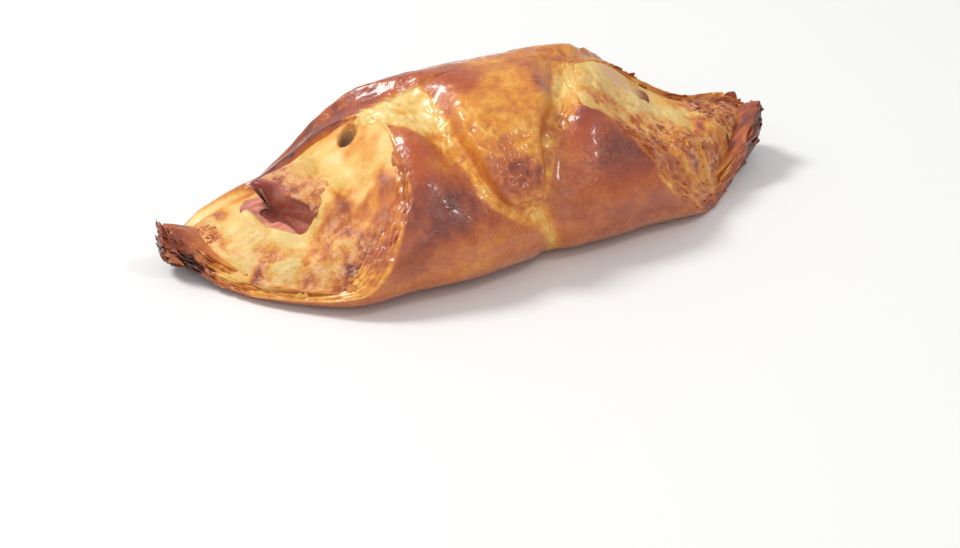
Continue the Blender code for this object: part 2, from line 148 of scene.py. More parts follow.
# The melted cheese's free surface, as in the solids.
CHEESE_ENDS = (-69.0, 70.5)
CHEESE_TOP = ((-70, 6), (-64, 9), (-57, 10.5), (-50, 13), (-44, 17.5), (-38, 21.5), (-32, 26),
              (-28, 28.6), (-24, 29), (-18, 26), (14, 26), (19, 29.5), (24, 31), (32, 28), (38, 24.5),
              (43, 21.5), (52, 17.5), (60, 15), (70, 13.5))
CHEESE_NEAR = ((-70, 5), (-60, 6), (-50, 7), (-42, 8), (-36, 10.5), (-31, 16), (-27, 22), (-24, 25),
               (-18, 20), (14, 20), (21, 30), (25, 20), (30, 15), (38, 12), (48, 11.5), (60, 12),
               (70, 12.5))
CHEESE_FAR = ((-70, 6), (-60, 9), (-50, 11), (-42, 14.5), (-34, 20), (-28, 25), (-24, 26), (-18, 22),
              (18, 22), (28, 28), (40, 22.5), (52, 18), (60, 15.5), (70, 14))
CHEESE_FALL = 1.6
CHEESE_LUMPS = 0.5
MOUNDS = (((-46.5, -4), 4.4, (7, 7)), ((-42.5, -13.5), 3.2, (5.5, 5)))
CHEESE_FLOOR = 4.4

# The folded ham and its two lips, by the share across it from its near edge to its far one.
HAM_THICKNESS = 2.0
HAM_RIGHT = 44.0
HAM_ROUNDING = 7.0
HAM_WAVES = 0.6
HAM_LIFT = ((-57, 12.5), (-50, 12.3), (-44, 13.5), (-34, 15), (0, 17), (25, 20.5), (36, 21.4),
            (46, 18.4))
HAM_SPREAD = ((-57, 1), (-20, 1), (20, 0.7), (44, 0.42))
LIP_FORK = ((0, -44.2), (0.5, -43.5), (1, -41))
LOWER_LIP_END = ((0, -47), (0.2, -52), (0.45, -55), (0.75, -56.5), (1, -54))
UPPER_LIP_END = ((0, -45.4), (0.2, -47), (0.42, -50), (0.66, -54.5), (0.8, -53), (1, -48))
UPPER_LIP_RISE = ((0, 4.2), (0.3, 5), (0.6, 5), (0.8, 3.6), (1, 1))
LIP_CURL = ((0, 0), (0.4, 0.4), (1, 0.8))
FORK_LENGTH = 10.0
HAM_TILT = ((0, -3.4), (0.35, -1.0), (0.62, 0.4), (1, -1.4))
HAM_NEAR = -14.6
HAM_FAR = 6.0
LIP_CURL_LENGTH = 5.0
LIP_SHOWN = ((0, 0.6), (0.4, 0.5), (0.65, 1.3), (1, 1.6))

# Where the ham's sheet is folded, by the share of the sheet, how far the fold is drawn in and how far
# it bulges by its half-height, over which share across, and where its rim ends along X.
HAM_FOLD = (0.42, 0.58)
FOLD_DRAWN_IN = 2.2
FOLD_BULGE = 0.9
FOLD_REACH = 0.35
FOLD_END = -44.4

# How the cheese meets the ham: how thickly it covers the lower lip's rim, the dip before the mouth as
# its middle, reaches and level, and the heap against the near fold, with where it starts and ends.
LIP_COVER = 1.2
LIP_COVER_REACH = 2.4
MOUTH_DIP = ((-50.5, -17.0), (6.0, 5.0), 9.2)
HEAP_RISE = 1.3
HEAP_SLOPE = 0.9
HEAP_START = (-47.2, -44.6)
HEAP_END = (-35.0, -39.0)

# Grids: girth places as (from, to, steps), crust steps for the five parts of a row, and the rest.
GIRTH_PARTS = ((-1, -0.3, 150), (-0.3, 0.35, 52), (0.35, 1, 118))
CRUST_STEPS = (66, 7, 58, 7, 66)
LINING_STEPS = 30
RIGHT_EDGE_STEPS = 34
LEFT_EDGE_STEPS = 26
CHEESE_ALONG = 270
CHEESE_ACROSS = 150
CHEESE_BOTTOM = 12
RIM_STEPS = 200
HAM_ALONG = 150
HAM_SHEET = 110
MOUND_GRID = (80, 130)


def along(points, x):
    """The smooth curve through (position, value) points, which never overshoots them."""
    place, value = np.array(points, float).T
    step = np.diff(place)
    rise = np.diff(value) / step
    slope = np.concatenate([rise[:1], np.zeros(len(place) - 2), rise[-1:]])
    turns = rise[:-1] * rise[1:] <= 0
    mean = 2 * rise[:-1] * rise[1:] / np.where(turns, 1, rise[:-1] + rise[1:])
    slope[1:-1] = np.where(turns, 0, mean)
    k = np.clip(np.searchsorted(place, x) - 1, 0, len(step) - 1)
    t = np.clip((x - place[k]) / step[k], 0, 1)
    start = (1 + 2 * t) * (1 - t) ** 2 * value[k] + t * (1 - t) ** 2 * step[k] * slope[k]
    end = t * t * (3 - 2 * t) * value[k + 1] + t * t * (t - 1) * step[k] * slope[k + 1]
    return start + end


def smooth(value, low, high):
    """0 below low, 1 above high and a smooth step between. Low may be the greater."""
    t = np.clip((value - low) / (high - low), 0, 1)
    return t * t * (3 - 2 * t)


def hump(value, middle, reach):
    """A soft bump: 1 where the value is at the middle, and about a third of that a reach away."""
    return np.exp(-(((value - middle) / reach) ** 2))


def toward(value, target, share):
    """The value drawn towards a target by a share from 0 to 1."""
    return value + (target - value) * share


def zone(x, w, from_x, *girths):
    """1 inside a zone and 0 outside. It begins over one range of x and over each range of girth."""
    inside = smooth(x, *from_x)
    for girth in girths:
        inside = inside * smooth(w, *girth)
    return inside


def level_place(x, y):
    """Points seen from above, for a pattern that doesn't change with height."""
    return np.stack([x, y, 0 * x], -1)


def ripple(place, seed, count=5):
    """An uneven wave of about -1 to 1, the sum of a few seeded sines."""
    draw = np.random.default_rng(seed)
    waves = zip(draw.uniform(0.6, 2.4, count), draw.uniform(0, 6.28, count))
    return sum(np.sin(rate * place + start) for rate, start in waves) / count * 1.4


def grain(points, size, seed):
    """Noise of -1 to 1: a hashed value at each corner of a lattice, blended smoothly between."""
    place = points / size
    low = np.floor(place)
    part = place - low
    part = part * part * (3 - 2 * part)
    low = low.astype(np.int64)
    total = np.zeros(points.shape[:-1])
    for corner in itertools.product((0, 1), repeat=3):
        key = (low + corner) @ np.array((73856093, 19349663, 83492791)) + seed * 2654435
        key = (key ^ (key >> 13)) * 1274126177
        value = ((key ^ (key >> 16)) & 0xFFFF) / 32767.5 - 1
        total += value * np.prod(np.where(corner, part, 1 - part), axis=-1)
    return total


def rough(points, size, seed, octaves=3):
    """Grain at ever finer sizes, each half as strong as the one before."""
    total = sum(grain(points, size / 2**k, seed + k) / 2**k for k in range(octaves))
    return total / (2 - 0.5 ** (octaves - 1))


def painted(value, patches, u, v):
    """The value drawn towards each patch's own, most at the patch's middle. A patch is its place,
    its two reaches, its value and its strength."""
    for at_u, at_v, reach_u, reach_v, target, strength in patches:
        square = ((u - at_u) / reach_u) ** 2 + ((v - at_v) / reach_v) ** 2
        value = toward(value, target, strength * np.exp(-(square**1.5)))
    return value


def section_table():
    """The section's angles from 0 at the floor to pi at the top, and the share of its length there."""
    angle = np.linspace(0, np.pi, 481)
    y, z = section_shape(angle)
    steps = np.hypot(np.diff(MIDDLE_WIDTH * y), np.diff(MIDDLE_HEIGHT * z))
    length = np.concatenate([[0], np.cumsum(steps)])
    return angle, length / length[-1]


def section_angle(w):
    """The section's angle at girth w, evenly along its length."""
    angle, share = section_table()
    return np.interp(np.abs(w), share, angle)


def girth_above(x, y):
    """The girth at a place seen from above, on the upper half of the section."""
    angle, share = section_table()
    upper = angle > np.pi / 2
    reach = section_shape(angle[upper])[0][::-1]
    width = np.where(y < 0, along(NEAR_WIDTH, x), along(FAR_WIDTH, x))
    girth = np.interp(np.abs(y) / width, reach, share[upper][::-1])
    return np.where(y < 0, -girth, girth)


def section_shape(angle):
    """The section's form: y as a share of the half-width and z as a share of the height."""
    s, c = np.abs(np.sin(angle)), np.cos(angle)
    y = s ** np.where(c > 0, FLOOR_SQUARENESS, ROOF_SQUARENESS)
    low = WIDEST_SHARE * (1 - np.abs(c) ** FLOOR_SQUARENESS)
    high = WIDEST_SHARE + (1 - WIDEST_SHARE) * np.abs(c) ** ROOF_SQUARENESS
    return y, np.where(c > 0, low, high)


def flap_cover(w, x):
    """How far the point is inside the upper flap's outline, in millimetres, negative outside it."""
    inside = np.minimum(x - along(FLAP_LEFT, w), along(FLAP_RIGHT, w) - x) * FLAP_LEAN
    inside = np.minimum(inside, (FLAP_TIP_GIRTH - w) * GIRTH_MM)
    at_ridge = np.minimum(x - FLAP_LEFT[0][1], FLAP_RIGHT[0][1] - x) * FLAP_LEAN
    return np.where(w > 0, at_ridge + (1 - w) * GIRTH_MM, inside)


def relief(w, x):
    """How far the crust stands out from the plain section, in millimetres."""
    cover = flap_cover(w, x)
    half = FLAP_SLOPE / 2 + FLAP_EASE * smooth(np.abs(w), *FLAP_EASE_GIRTH)
    raised = FLAP_HEIGHT * smooth(cover, -half, half)
    raised = raised * np.where(w > 0, smooth(w, FLAP_FADE[1], FLAP_FADE[0]), 1)
    near = smooth(w, *NEAR_WALL)
    moat = MOAT_DEPTH * hump(cover, -MOAT_PLACE, MOAT_WIDTH)
    total = raised - moat * np.where(w > 0, 0, near * smooth(w, *MOAT_TOP))
    for at_x, at_w, height, reach_x, reach_w in CHEEKS:
        bump = height * hump(x, at_x, reach_x) * hump(w, at_w, reach_w)
        total = total + bump * (1 - smooth(cover, *CHEEK_STOP)) * near
    span = smooth(w, *CREASE_TOP) * smooth(w, *CREASE_FOOT) * (w < 0)
    return total - CREASE_DEPTH * hump(x, CREASE_X, CREASE_WIDTH) * span


def wrap_point(w, x, depth):
    """A point of the dough at girth w, as deep as asked under the plain crust."""
    angle = section_angle(w)
    side = np.where(w < 0, -1.0, 1.0)
    share_y, share_z = section_shape(angle)
    width = np.where(w < 0, along(NEAR_WIDTH, x), along(FAR_WIDTH, x))
    height = along(HEIGHT, x)
    y = side * width * share_y
    z = np.maximum(share_z * (height + FLOOR_SINK) - FLOOR_SINK, 0) + along(LIFT, x)
    degrees = np.degrees(angle)
    turn = np.pi / 2 * (smooth(degrees, *LOWER_TURN) + smooth(degrees, *UPPER_TURN))
    return y - side * depth * np.sin(turn), z + depth * np.cos(turn)


def edge_x(w, outline, seed):
    """Where the sheet's ragged cut edge lies at girth w."""
    return along(outline, w) + RAGGED * (1 + hump(w, 0, RAGGED_TIP)) * ripple(w * RIPPLE_RATE, seed)


def thickness(w, x):
    """The dough's thickness: a wall that puffs up or thins at its cut edges and at the corners."""
    from_left = np.maximum(x - along(LEFT_EDGE, w), 0)
    from_right = np.maximum(along(RIGHT_EDGE, w) - x, 0)
    puffed = along(LEFT_PUFF, w) * hump(from_left, 0, EDGE_PUFF_REACH)
    puffed = puffed + along(RIGHT_PUFF, w) * hump(from_right, 0, EDGE_PUFF_REACH)
    ends = LEFT_TIP_PUFF * smooth(x, *LEFT_TIP_FROM) + RIGHT_TIP_PUFF * smooth(x, *RIGHT_TIP_FROM)
    return WALL + puffed + ends * (TIP_WALL + (1 - TIP_WALL) * smooth(np.abs(w), *TIP_SPREAD))


def columns(w, left, right, steps):
    """Places along the crust, gathered at the upper flap's two edges. Steps are for the five parts
    between the ends and the foot and crest of each edge."""
    open_up = smooth(w, *COLUMNS_OPEN) * (1 - smooth(w, *COLUMNS_CLOSE))
    half = FLAP_SLOPE / 2 / FLAP_LEAN
    flap_left = along(FLAP_LEFT, w) * (1 - open_up) - COLUMNS_APART * open_up
    flap_right = along(FLAP_RIGHT, w) * (1 - open_up) + COLUMNS_APART * open_up
    stops = [left, flap_left - half, flap_left + half, flap_right - half, flap_right + half, right]
    part_shares = np.array([0, 0.25, 0.3, 0.7, 0.75, 1])
    low = left + part_shares * (right - left) / 2
    high = right - (1 - part_shares) * (right - left) / 2
    parts = []
    for k, count in enumerate(steps):
        start = np.clip(stops[k], low[:, k, None], high[:, k, None])
        end = np.clip(stops[k + 1], low[:, k + 1, None], high[:, k + 1, None])
        share = np.arange(count + (k == len(steps) - 1)) / count
        parts.append(start + (end - start) * share)
    return np.concatenate(parts, axis=1)


# How brown the crust is, from 0 for pale dough to 1 for burnt: x, girth, two reaches, value and
# strength. The near side's girths run from -1 at the top to -0.35 at the foot.
NEAR_BAKE = 0.55
FAR_BAKE = 0.58
CRUST_PATCHES = (
    (-25, -0.76, 5, 0.1, 0.66, 1.0),
    (-20, -0.74, 6, 0.05, 0.5, 0.8),
    (-24, -0.64, 7, 0.07, 0.76, 0.9),
    (-19, -0.6, 9, 0.07, 0.8, 1.0),
    (-30, -0.52, 7, 0.08, 0.7, 0.9),
    (-12, -0.49, 9, 0.06, 0.5, 0.8),
    (-8, -0.57, 3.5, 0.04, 0.64, 0.8),
    (-16, -0.41, 14, 0.05, 0.46, 0.8),
    (20, -0.75, 4, 0.07, 0.76, 1.0),
    (26, -0.63, 9, 0.08, 0.82, 1.0),
    (13, -0.61, 4, 0.06, 0.62, 0.9),
    (11, -0.5, 3.5, 0.05, 0.64, 0.8),
    (30, -0.46, 14, 0.07, 0.66, 0.9),
    (26, -0.37, 18, 0.05, 0.6, 0.7),
)
FLAP_PATCHES = (
    (-6, -0.99, 6.5, 0.1, 0.64, 1.0),
    (4.5, -0.96, 6.5, 0.14, 0.36, 1.0),
    (12.5, -0.98, 3.5, 0.1, 0.5, 0.8),
    (-2, -0.86, 4, 0.05, 0.4, 0.8),
    (-8, -0.82, 3.5, 0.1, 0.3, 0.8),
    (-4, -0.72, 3, 0.04, 0.3, 0.7),
    (11.5, -0.885, 1.6, 0.03, 0.7, 1.0),
    (-2, -0.76, 8, 0.06, 0.42, 0.9),
    (-6, -0.7, 3.5, 0.03, 0.62, 0.9),
    (-2.5, -0.635, 6, 0.045, 0.74, 1.0),
)

# Where the crust is a deep red-brown: x, girth, reaches, 1 and strength.
BLUSHES = (
    (-23, -0.78, 4.5, 0.08, 1.0, 1.0),
    (-6, -0.97, 6, 0.07, 1.0, 0.9),
    (3, -0.99, 8, 0.03, 1.0, 0.7),
    (19, -0.74, 4, 0.06, 1.0, 0.7),
    (26, -0.56, 10, 0.06, 1.0, 0.5),
    (-22, 0.95, 14, 0.1, 1.0, 0.7),
)

# The seams where the near side's browned cheeks meet the pale moat, as (girth, x) points.
LEFT_SEAM = ((-1, -31), (-0.9, -25), (-0.8, -17), (-0.7, -13.4), (-0.61, -11.2), (-0.55, -7),
             (-0.49, -1))
RIGHT_SEAM = ((-1, 27), (-0.9, 22), (-0.81, 19), (-0.74, 13.5), (-0.66, 9), (-0.56, 4), (-0.49, 0))

# How brown the rolled far rim of the left end is, by girth, and where it lies: inwards and by girth.
RIM_BAKE = ((0.2, 0.66), (0.42, 0.5), (0.55, 0.36), (0.66, 0.44), (0.74, 0.82), (0.84, 0.84),
            (0.93, 0.8), (1, 0.7))
RIM_INWARD = (9, 2)
RIM_GIRTHS = ((0.3, 0.5), (1, 0.97))

# How far the patches' rims wander along X and by girth.
DRIFT_X = 1.6
DRIFT_GIRTH = 0.022

# The foot of the near wall, by girth, below which the floor's tone is reached.
NEAR_FOOT = (-0.36, -0.25)

# The moat's tone, how soft its seams are, where it stops at the flap, how much browner it is towards
# the flap's tip and to the right, and where it fades past the top.
MOAT_TONE = 0.15
MOAT_SOFT = 0.8
MOAT_INNER = (-0.9, 0.2)
MOAT_TIP = (-0.92, -0.76)
MOAT_TIP_BROWNER = 0.25
MOAT_RIGHT = (5, 12)
MOAT_RIGHT_BROWNER = 0.06
MOAT_OVER_TOP = (14, 10)

# The tone of the crest right of the moat, and of the crease below the flap's tip.
CREST_TONE = 0.44
CREST = ((11, 16), (-0.92, -1))
CREASE_TONE = 0.24
CREASE_PALE_WIDTH = 2.2
CREASE_PALE_TOP = (-0.56, -0.5)
CREASE_PALE_FOOT = (-0.28, -0.36)

# The flap's tone, how much browner it is past the top, and how soft its rim is there and elsewhere.
FLAP_TONE = 0.46
PAST_TOP_BROWNER = 0.09
PAST_TOP = (1, 0.9)
FLAP_RIM_SOFT = 0.6
FLAP_RIM_SOFT_TOP = 3.0
FLAP_RIM_TOP = (0.78, 0.92)
FLAP_FAR_END = (0.78, 0.93)

# Zones of the crust that bake to a tone of their own: where each begins along X and by girth, its
# tone, how blotchy it is and its strength. They are the far wall beside the flap, on its left and
# right, the two raised corners, and the left corner's foot: burnt, with painted shade beneath.
ANY_GIRTH = (-3, -2)
CRUST_ZONES = (
    ((-8, -17), (0.62, 0.78), (1, 0.96), 0.74, 0.24, 0.8),
    ((13, 18), (0.75, 0.9), (1, 0.94), 0.44, 0, 0.8),
    ((-64, -72), ANY_GIRTH, ANY_GIRTH, 0.86, 0, 1),
    ((56, 68), ANY_GIRTH, ANY_GIRTH, 0.86, 0, 1),
    # The left corner's foot: partly burnt, partly painted shade under the lifted tip.
    ((-58, -64), (-0.32, -0.22), (0.1, 0), 0.97, 0, 1),
)


def crust_bake(w, x, place):
    """How brown the crust is at each point: the walls with their patches, the moat and the crease
    between them, the flap over both, the left end's far rim, and the zones."""
    near_side = w < 0
    drift_x = x + DRIFT_X * rough(place, 6, 21)
    drift_w = w + DRIFT_GIRTH * rough(place, 6, 31)
    wall = np.where(near_side, NEAR_BAKE, FAR_BAKE) + 0 * x
    wall = toward(wall, FAR_BAKE, smooth(w, *NEAR_FOOT))
    wall = painted(wall, CRUST_PATCHES, drift_x, drift_w)
    cover = flap_cover(w, x)
    moat = in_moat(w, drift_x, MOAT_SOFT) * (1 - smooth(cover, *MOAT_INNER))
    pale = MOAT_TONE + MOAT_TIP_BROWNER * smooth(w, *MOAT_TIP) * near_side
    pale = pale + MOAT_RIGHT_BROWNER * smooth(x, *MOAT_RIGHT) + 0.16 * rough(place, 2.4, 47)
    wall = toward(wall, pale, moat * np.where(w > 0, smooth(x, *MOAT_OVER_TOP), 1))
    wall = toward(wall, CREST_TONE + 0.2 * rough(place, 3, 49), zone(x, w, *CREST) * near_side)
    crease = hump(x, crease_path(w), CREASE_PALE_WIDTH) * smooth(w, *CREASE_PALE_TOP) * near_side
    wall = toward(wall, CREASE_TONE, crease * smooth(w, *CREASE_PALE_FOOT))
    past_top = FLAP_TONE + np.where(w > 0, PAST_TOP_BROWNER * smooth(w, *PAST_TOP), 0)
    flap = painted(past_top + 0 * x, FLAP_PATCHES, drift_x, np.where(w > 0, drift_w - 2, drift_w))
    soft = FLAP_RIM_SOFT + FLAP_RIM_SOFT_TOP * smooth(np.abs(w), *FLAP_RIM_TOP) * (x < 0)
    lapped = smooth(cover + 0.8 * rough(place, 2.5, 25), -soft, soft)
    bake = toward(wall, flap, lapped * np.where(w > 0, smooth(w, *FLAP_FAR_END), 1))
    from_edge = x - along(LEFT_EDGE, w)
    bake = toward(bake, along(RIM_BAKE, w), zone(from_edge, w, RIM_INWARD, *RIM_GIRTHS))
    blotches = rough(place, 3, 57)
    for from_x, from_w, until_w, tone, spread, strength in CRUST_ZONES:
        inside = zone(x, w, from_x, from_w, until_w)
        bake = toward(bake, tone + spread * blotches, strength * inside)
    return bake + 0.07 * rough(place, 3.2, 41, 4) + 0.05 * rough(place, 9, 45)


# Where the moat ends by girth, below the flap's tip and past the top.
MOAT_FOOT = (-0.47, -0.52)
MOAT_PAST_TOP = (-1.06, -1)


def in_moat(w, x, soft):
    """1 between the two seams of the near side's cheeks, 0 outside them, and run out over the top."""
    over_top = np.where(w > 0, w - 2, w)
    between = np.minimum(x - along(LEFT_SEAM, over_top), along(RIGHT_SEAM, over_top) - x)
    return zone(between, over_top, (-soft, soft), MOAT_FOOT, MOAT_PAST_TOP)


def crease_path(w):
    """Where the crease between the cheeks runs, from the flap's tip down to the foot."""
    return np.interp(w, (-0.6, -0.5, -0.4, -0.3), (0, 2.5, 5.5, 6.5))


def creased(place, size, seed, octaves=3):
    """Sharp-ridged noise of about -1 to 1: high along thin uneven lines."""
    return 1 - 3 * np.abs(rough(place, size, seed, octaves))


# Wrinkles round the flap and gathers across the crease: height and how far apart, in millimetres.
WRINKLES = (0.2, 2.1)
GATHERS = (0.16, 1.5)
GATHERS_WIDTH = 3.0
GATHERS_TOP = (-0.62, -0.54)
PIMPLE_HEIGHT = 0.7
PIMPLE_TOP = (-1, -0.94)

# Where the finer crinkles lie: inside the flap's rim and at its tip, and two zones by the top.
FLAP_CRINKLED = (0.2, 1.6)
FLAP_TIP = (-0.92, -0.72)
FAR_TOP = ((10, 16), (0.7, 0.88), (1, 0.95))
LEFT_TOP = ((-11, -14), (0.74, 0.84))

# The crinkles: place, height, how much browner their low lines are, size, seed and squash.
CRUST_CRINKLES = (
    ("moat", 0.22, 0.07, 2.6, 55, (1, 1, 1)),
    ("flap", 0.14, 0.04, 3, 61, (1, 1, 1)),
    ("flap_tip", 0.34, 0.09, 3, 61, (1, 1, 1)),
    ("walls", 0.06, 0, 5, 77, (0.7, 1, 1)),
    ("far_top", 0.5, 0.1, 3.4, 81, (1, 1, 1)),
    ("left_top", 0.2, 0.08, 3, 85, (0.6, 1, 1.4)),
)


def crust_detail(w, x, place):
    """Fine relief of the crust: stretched wrinkles round the flap, gathers across the crease, pimples,
    puffs and crinkles. Returns the height and how much browner it makes each place."""
    cover = flap_cover(w, x)
    near = (1 - smooth(w, *NEAR_FOOT)) * (w < 0)
    moat = in_moat(w, x, 1.5) * (1 - smooth(cover, -1.2, -0.4))
    waver = 2.6 * rough(place, 6, 51)
    patchy = 0.4 + 0.8 * np.abs(rough(place, 4, 53))
    lines = WRINKLES[0] * patchy * moat * np.sin(2 * np.pi * (cover / WRINKLES[1] + waver))
    past = x - crease_path(w)
    crease = hump(past, 0, GATHERS_WIDTH) * smooth(w, *GATHERS_TOP) * near
    gathers = np.sin(2 * np.pi * (past / GATHERS[1] + 0.8 * waver))
    pimples = np.maximum(grain(place, 2.6, 67) - 0.45, 0) * near * smooth(w, *PIMPLE_TOP)
    total = lines + GATHERS[0] * gathers * crease * patchy + PIMPLE_HEIGHT * pimples
    total = total + 0.3 * rough(place, 13, 71, 2) + 0.12 * rough(place, 4.5, 75)
    tint = -0.3 * lines
    flap = smooth(cover, *FLAP_CRINKLED)
    places = {"moat": moat, "walls": 1 - moat, "flap": flap}
    places["flap_tip"] = flap * smooth(w, *FLAP_TIP) * (w < 0)
    places["far_top"] = zone(x, w, *FAR_TOP)
    places["left_top"] = zone(x, np.abs(w), *LEFT_TOP)
    for name, height, browner, size, seed, squash in CRUST_CRINKLES:
        crinkle = creased(place * squash, size, seed) * places[name]
        total = total + height * crinkle
        tint = tint - browner * crinkle
    return total, tint


def sheets_at_cut(share, place, count, seed, uneven):
    """Stacked sheets seen at a cut: rounded ridges over the share of the thickness, each standing
    out by its own uneven amount. Returns the height and how light each place is."""
    sheet = share * count + 0.55 * rough(place, 6, seed)
    index = np.floor(sheet)
    ridge = np.sqrt(np.abs(np.sin(np.pi * (sheet - index))))
    stacked = np.stack([place[..., 0], place[..., 1] + place[..., 2], index * 9.7], -1)
    own = grain(stacked, 4.5, seed + 5) + 0.6 * grain(stacked, 1.6, seed + 6)
    return 0.2 * ridge + uneven * own, ridge * (0.55 + 0.45 * own)


def girth_places():
    parts = [np.linspace(low, high, steps, endpoint=False) for low, high, steps in GIRTH_PARTS]
    return np.concatenate(parts)[:, None]


def normals_of(points):
    """Unit normals of a grid of points from its two directions."""
    normal = np.cross(np.gradient(points, axis=0), np.gradient(points, axis=1))
    return normal / np.maximum(np.linalg.norm(normal, axis=-1, keepdims=True), 1e-9)


# The cut faces: how uneven their sheets are and how much more at the raised corners, how far a corner
# reaches by girth, and how high the faces are crumpled. Then where the left end's far rim is rolled.
CUT_UNEVEN = 0.35
CUT_TIP_UNEVEN = 0.55
CUT_TIP = 0.34
CUT_CRUMPLE = 0.3
ROLLED = ((0.3, 0.45), (0.99, 0.93))
ROLLED_CALM = 0.8

# Tones of the cut faces: the sheets, how much browner the near side's upper stretch and the corners
# are, how much paler a sheet's ridge and the left end's golden stretch are, and the merged top.
CUT_TONE = 0.54
CUT_NEAR_BROWNER = (0.1, (-0.45, -0.6))
CUT_TIP_BROWNER = {-1: 0.3, 1: 0.52}
CUT_TIP_CRUST = (0.5, (0.35, 0.65))
CUT_RIDGE_PALER = 0.24
GOLDEN_PALER = 0.22
GOLDEN = ((-0.55, -0.45), (-0.2, -0.3))
ROLLED_PALER = (0.36, (0.95, 0.3))
MERGED_TONE = 0.14
MERGED = (-0.8, -0.9)


def cut_face(w, start, end, steps, way, count, seed):
    """The cut edge of the dough as a grid from its crust point to its lining point, with its sheets
    standing out, but rolled smooth where it is rimmed. Returns points and how brown they are."""
    at_left = way < 0
    t = np.linspace(0, 1, steps + 2)[None, 1:-1]
    face = toward(start[:, None], end[:, None], t[..., None])
    face[..., 0] += way * EDGE_BULGE * np.sin(np.pi * t)
    normal = normals_of(face)
    normal = normal * np.sign(normal[..., :1]) * way
    at_tip = hump(w, 0, CUT_TIP)
    height, light = sheets_at_cut(t, face, count, seed, CUT_UNEVEN + CUT_TIP_UNEVEN * at_tip)
    rolled = smooth(w, *ROLLED[0]) * smooth(w, *ROLLED[1]) * at_left
    rim_bake = along(RIM_BAKE, w) + 0.12 * rough(face, 3, seed + 7)
    shown = np.sin(np.pi * t) ** 0.35 * (1 - ROLLED_CALM * rolled)
    face = face + normal * (height * shown)[..., None]
    crumpled = creased(face, 2.4, seed + 3)
    face = face + normal * (CUT_CRUMPLE * crumpled * (1 - rolled))[..., None]
    golden = smooth(w, *GOLDEN[0]) * smooth(w, *GOLDEN[1]) * at_left
    bake = CUT_TONE + CUT_NEAR_BROWNER[0] * smooth(w, *CUT_NEAR_BROWNER[1])
    bake = bake - CUT_RIDGE_PALER * light - GOLDEN_PALER * golden + CUT_TIP_BROWNER[way] * at_tip
    bake = bake + 0.2 * rough(face, 2.6, seed + 9) - 0.06 * crumpled
    to_crust = t if at_left else 1 - t
    bake = bake + CUT_TIP_CRUST[0] * at_tip * smooth(to_crust, *CUT_TIP_CRUST[1]) * at_left
    rim_bake = rim_bake - ROLLED_PALER[0] * smooth(to_crust, *ROLLED_PALER[1])
    bake = toward(bake, rim_bake, rolled)
    return face, toward(bake, MERGED_TONE, smooth(w, *MERGED))


# The lining's tone, how much browner it is towards the far side's right, and at its two ends, where it
# is crinkled too.
LINING_TONE = 0.4
LINING_BROWNER = 0.14
LINING_FAR_RIGHT = ((-10, 10), (0.3, 0.5))
LINING_END_TONE = 0.74
LINING_LEFT_END = (-64, -71)
LINING_RIGHT_END = (56, 64)
LINING_CRINKLE = 0.45


def pastry_surface():
    """The whole sleeve as rings of points: crust, right cut edge, lining and left cut edge."""
    w = girth_places()
    left, right = edge_x(w, LEFT_EDGE, 3), edge_x(w, RIGHT_EDGE, 8)
    x = columns(w, left, right, CRUST_STEPS)
    y, z = wrap_point(w, x, 0)
    place = np.stack([x, y, z], -1)
    detail, tint = crust_detail(w, x, place)
    y, z = wrap_point(w, x, -relief(w, x) - detail)
    crust = np.stack([x, y, np.maximum(z, 0)], -1)
    bake = crust_bake(w, x, place) + tint
    blush = painted(0 * x, BLUSHES, x + rough(place, 5, 23), w + 0.015 * rough(place, 5, 29))
    start, end = right + along(RIGHT_SLANT, w), left - along(LEFT_SLANT, w)
    share = (1 - np.cos(np.linspace(0, np.pi, LINING_STEPS + 1))) / 2
    inner_x = toward(start, end, share)
    y, z = wrap_point(w, inner_x, thickness(w, inner_x))
    lining = np.stack([inner_x, y, z], -1)
    at_ends = np.maximum(smooth(inner_x, *LINING_LEFT_END), smooth(inner_x, *LINING_RIGHT_END))
    lining_bake = LINING_TONE + LINING_BROWNER * zone(inner_x, w, *LINING_FAR_RIGHT)
    folded = creased(lining, 2.4, 95)
    end_bake = LINING_END_TONE + 0.3 * rough(lining, 2.4, 93) - 0.12 * folded
    lining_bake = toward(lining_bake + 0.16 * rough(lining, 4, 91), end_bake, at_ends)
    y, z = wrap_point(w, inner_x, thickness(w, inner_x) + LINING_CRINKLE * folded * at_ends)
    lining = np.stack([inner_x, y, z], -1)
    right_face, right_bake = cut_face(w, crust[:, -1], lining[:, 0], RIGHT_EDGE_STEPS, 1, 8, 101)
    left_face, left_bake = cut_face(w, lining[:, -1], crust[:, 0], LEFT_EDGE_STEPS, -1, 7, 111)
    rings = np.concatenate([crust, right_face, lining, left_face], axis=1)
    bakes = np.concatenate([bake, right_bake, lining_bake, left_bake], axis=1)
    off_crust = np.zeros((len(w), rings.shape[1] - x.shape[1]))
    on_crust = np.concatenate([np.ones_like(bake), off_crust], axis=1)
    blushes = np.concatenate([blush, off_crust], axis=1)
    return rings, {"bake": bakes, "crust": on_crust, "blush": blushes}


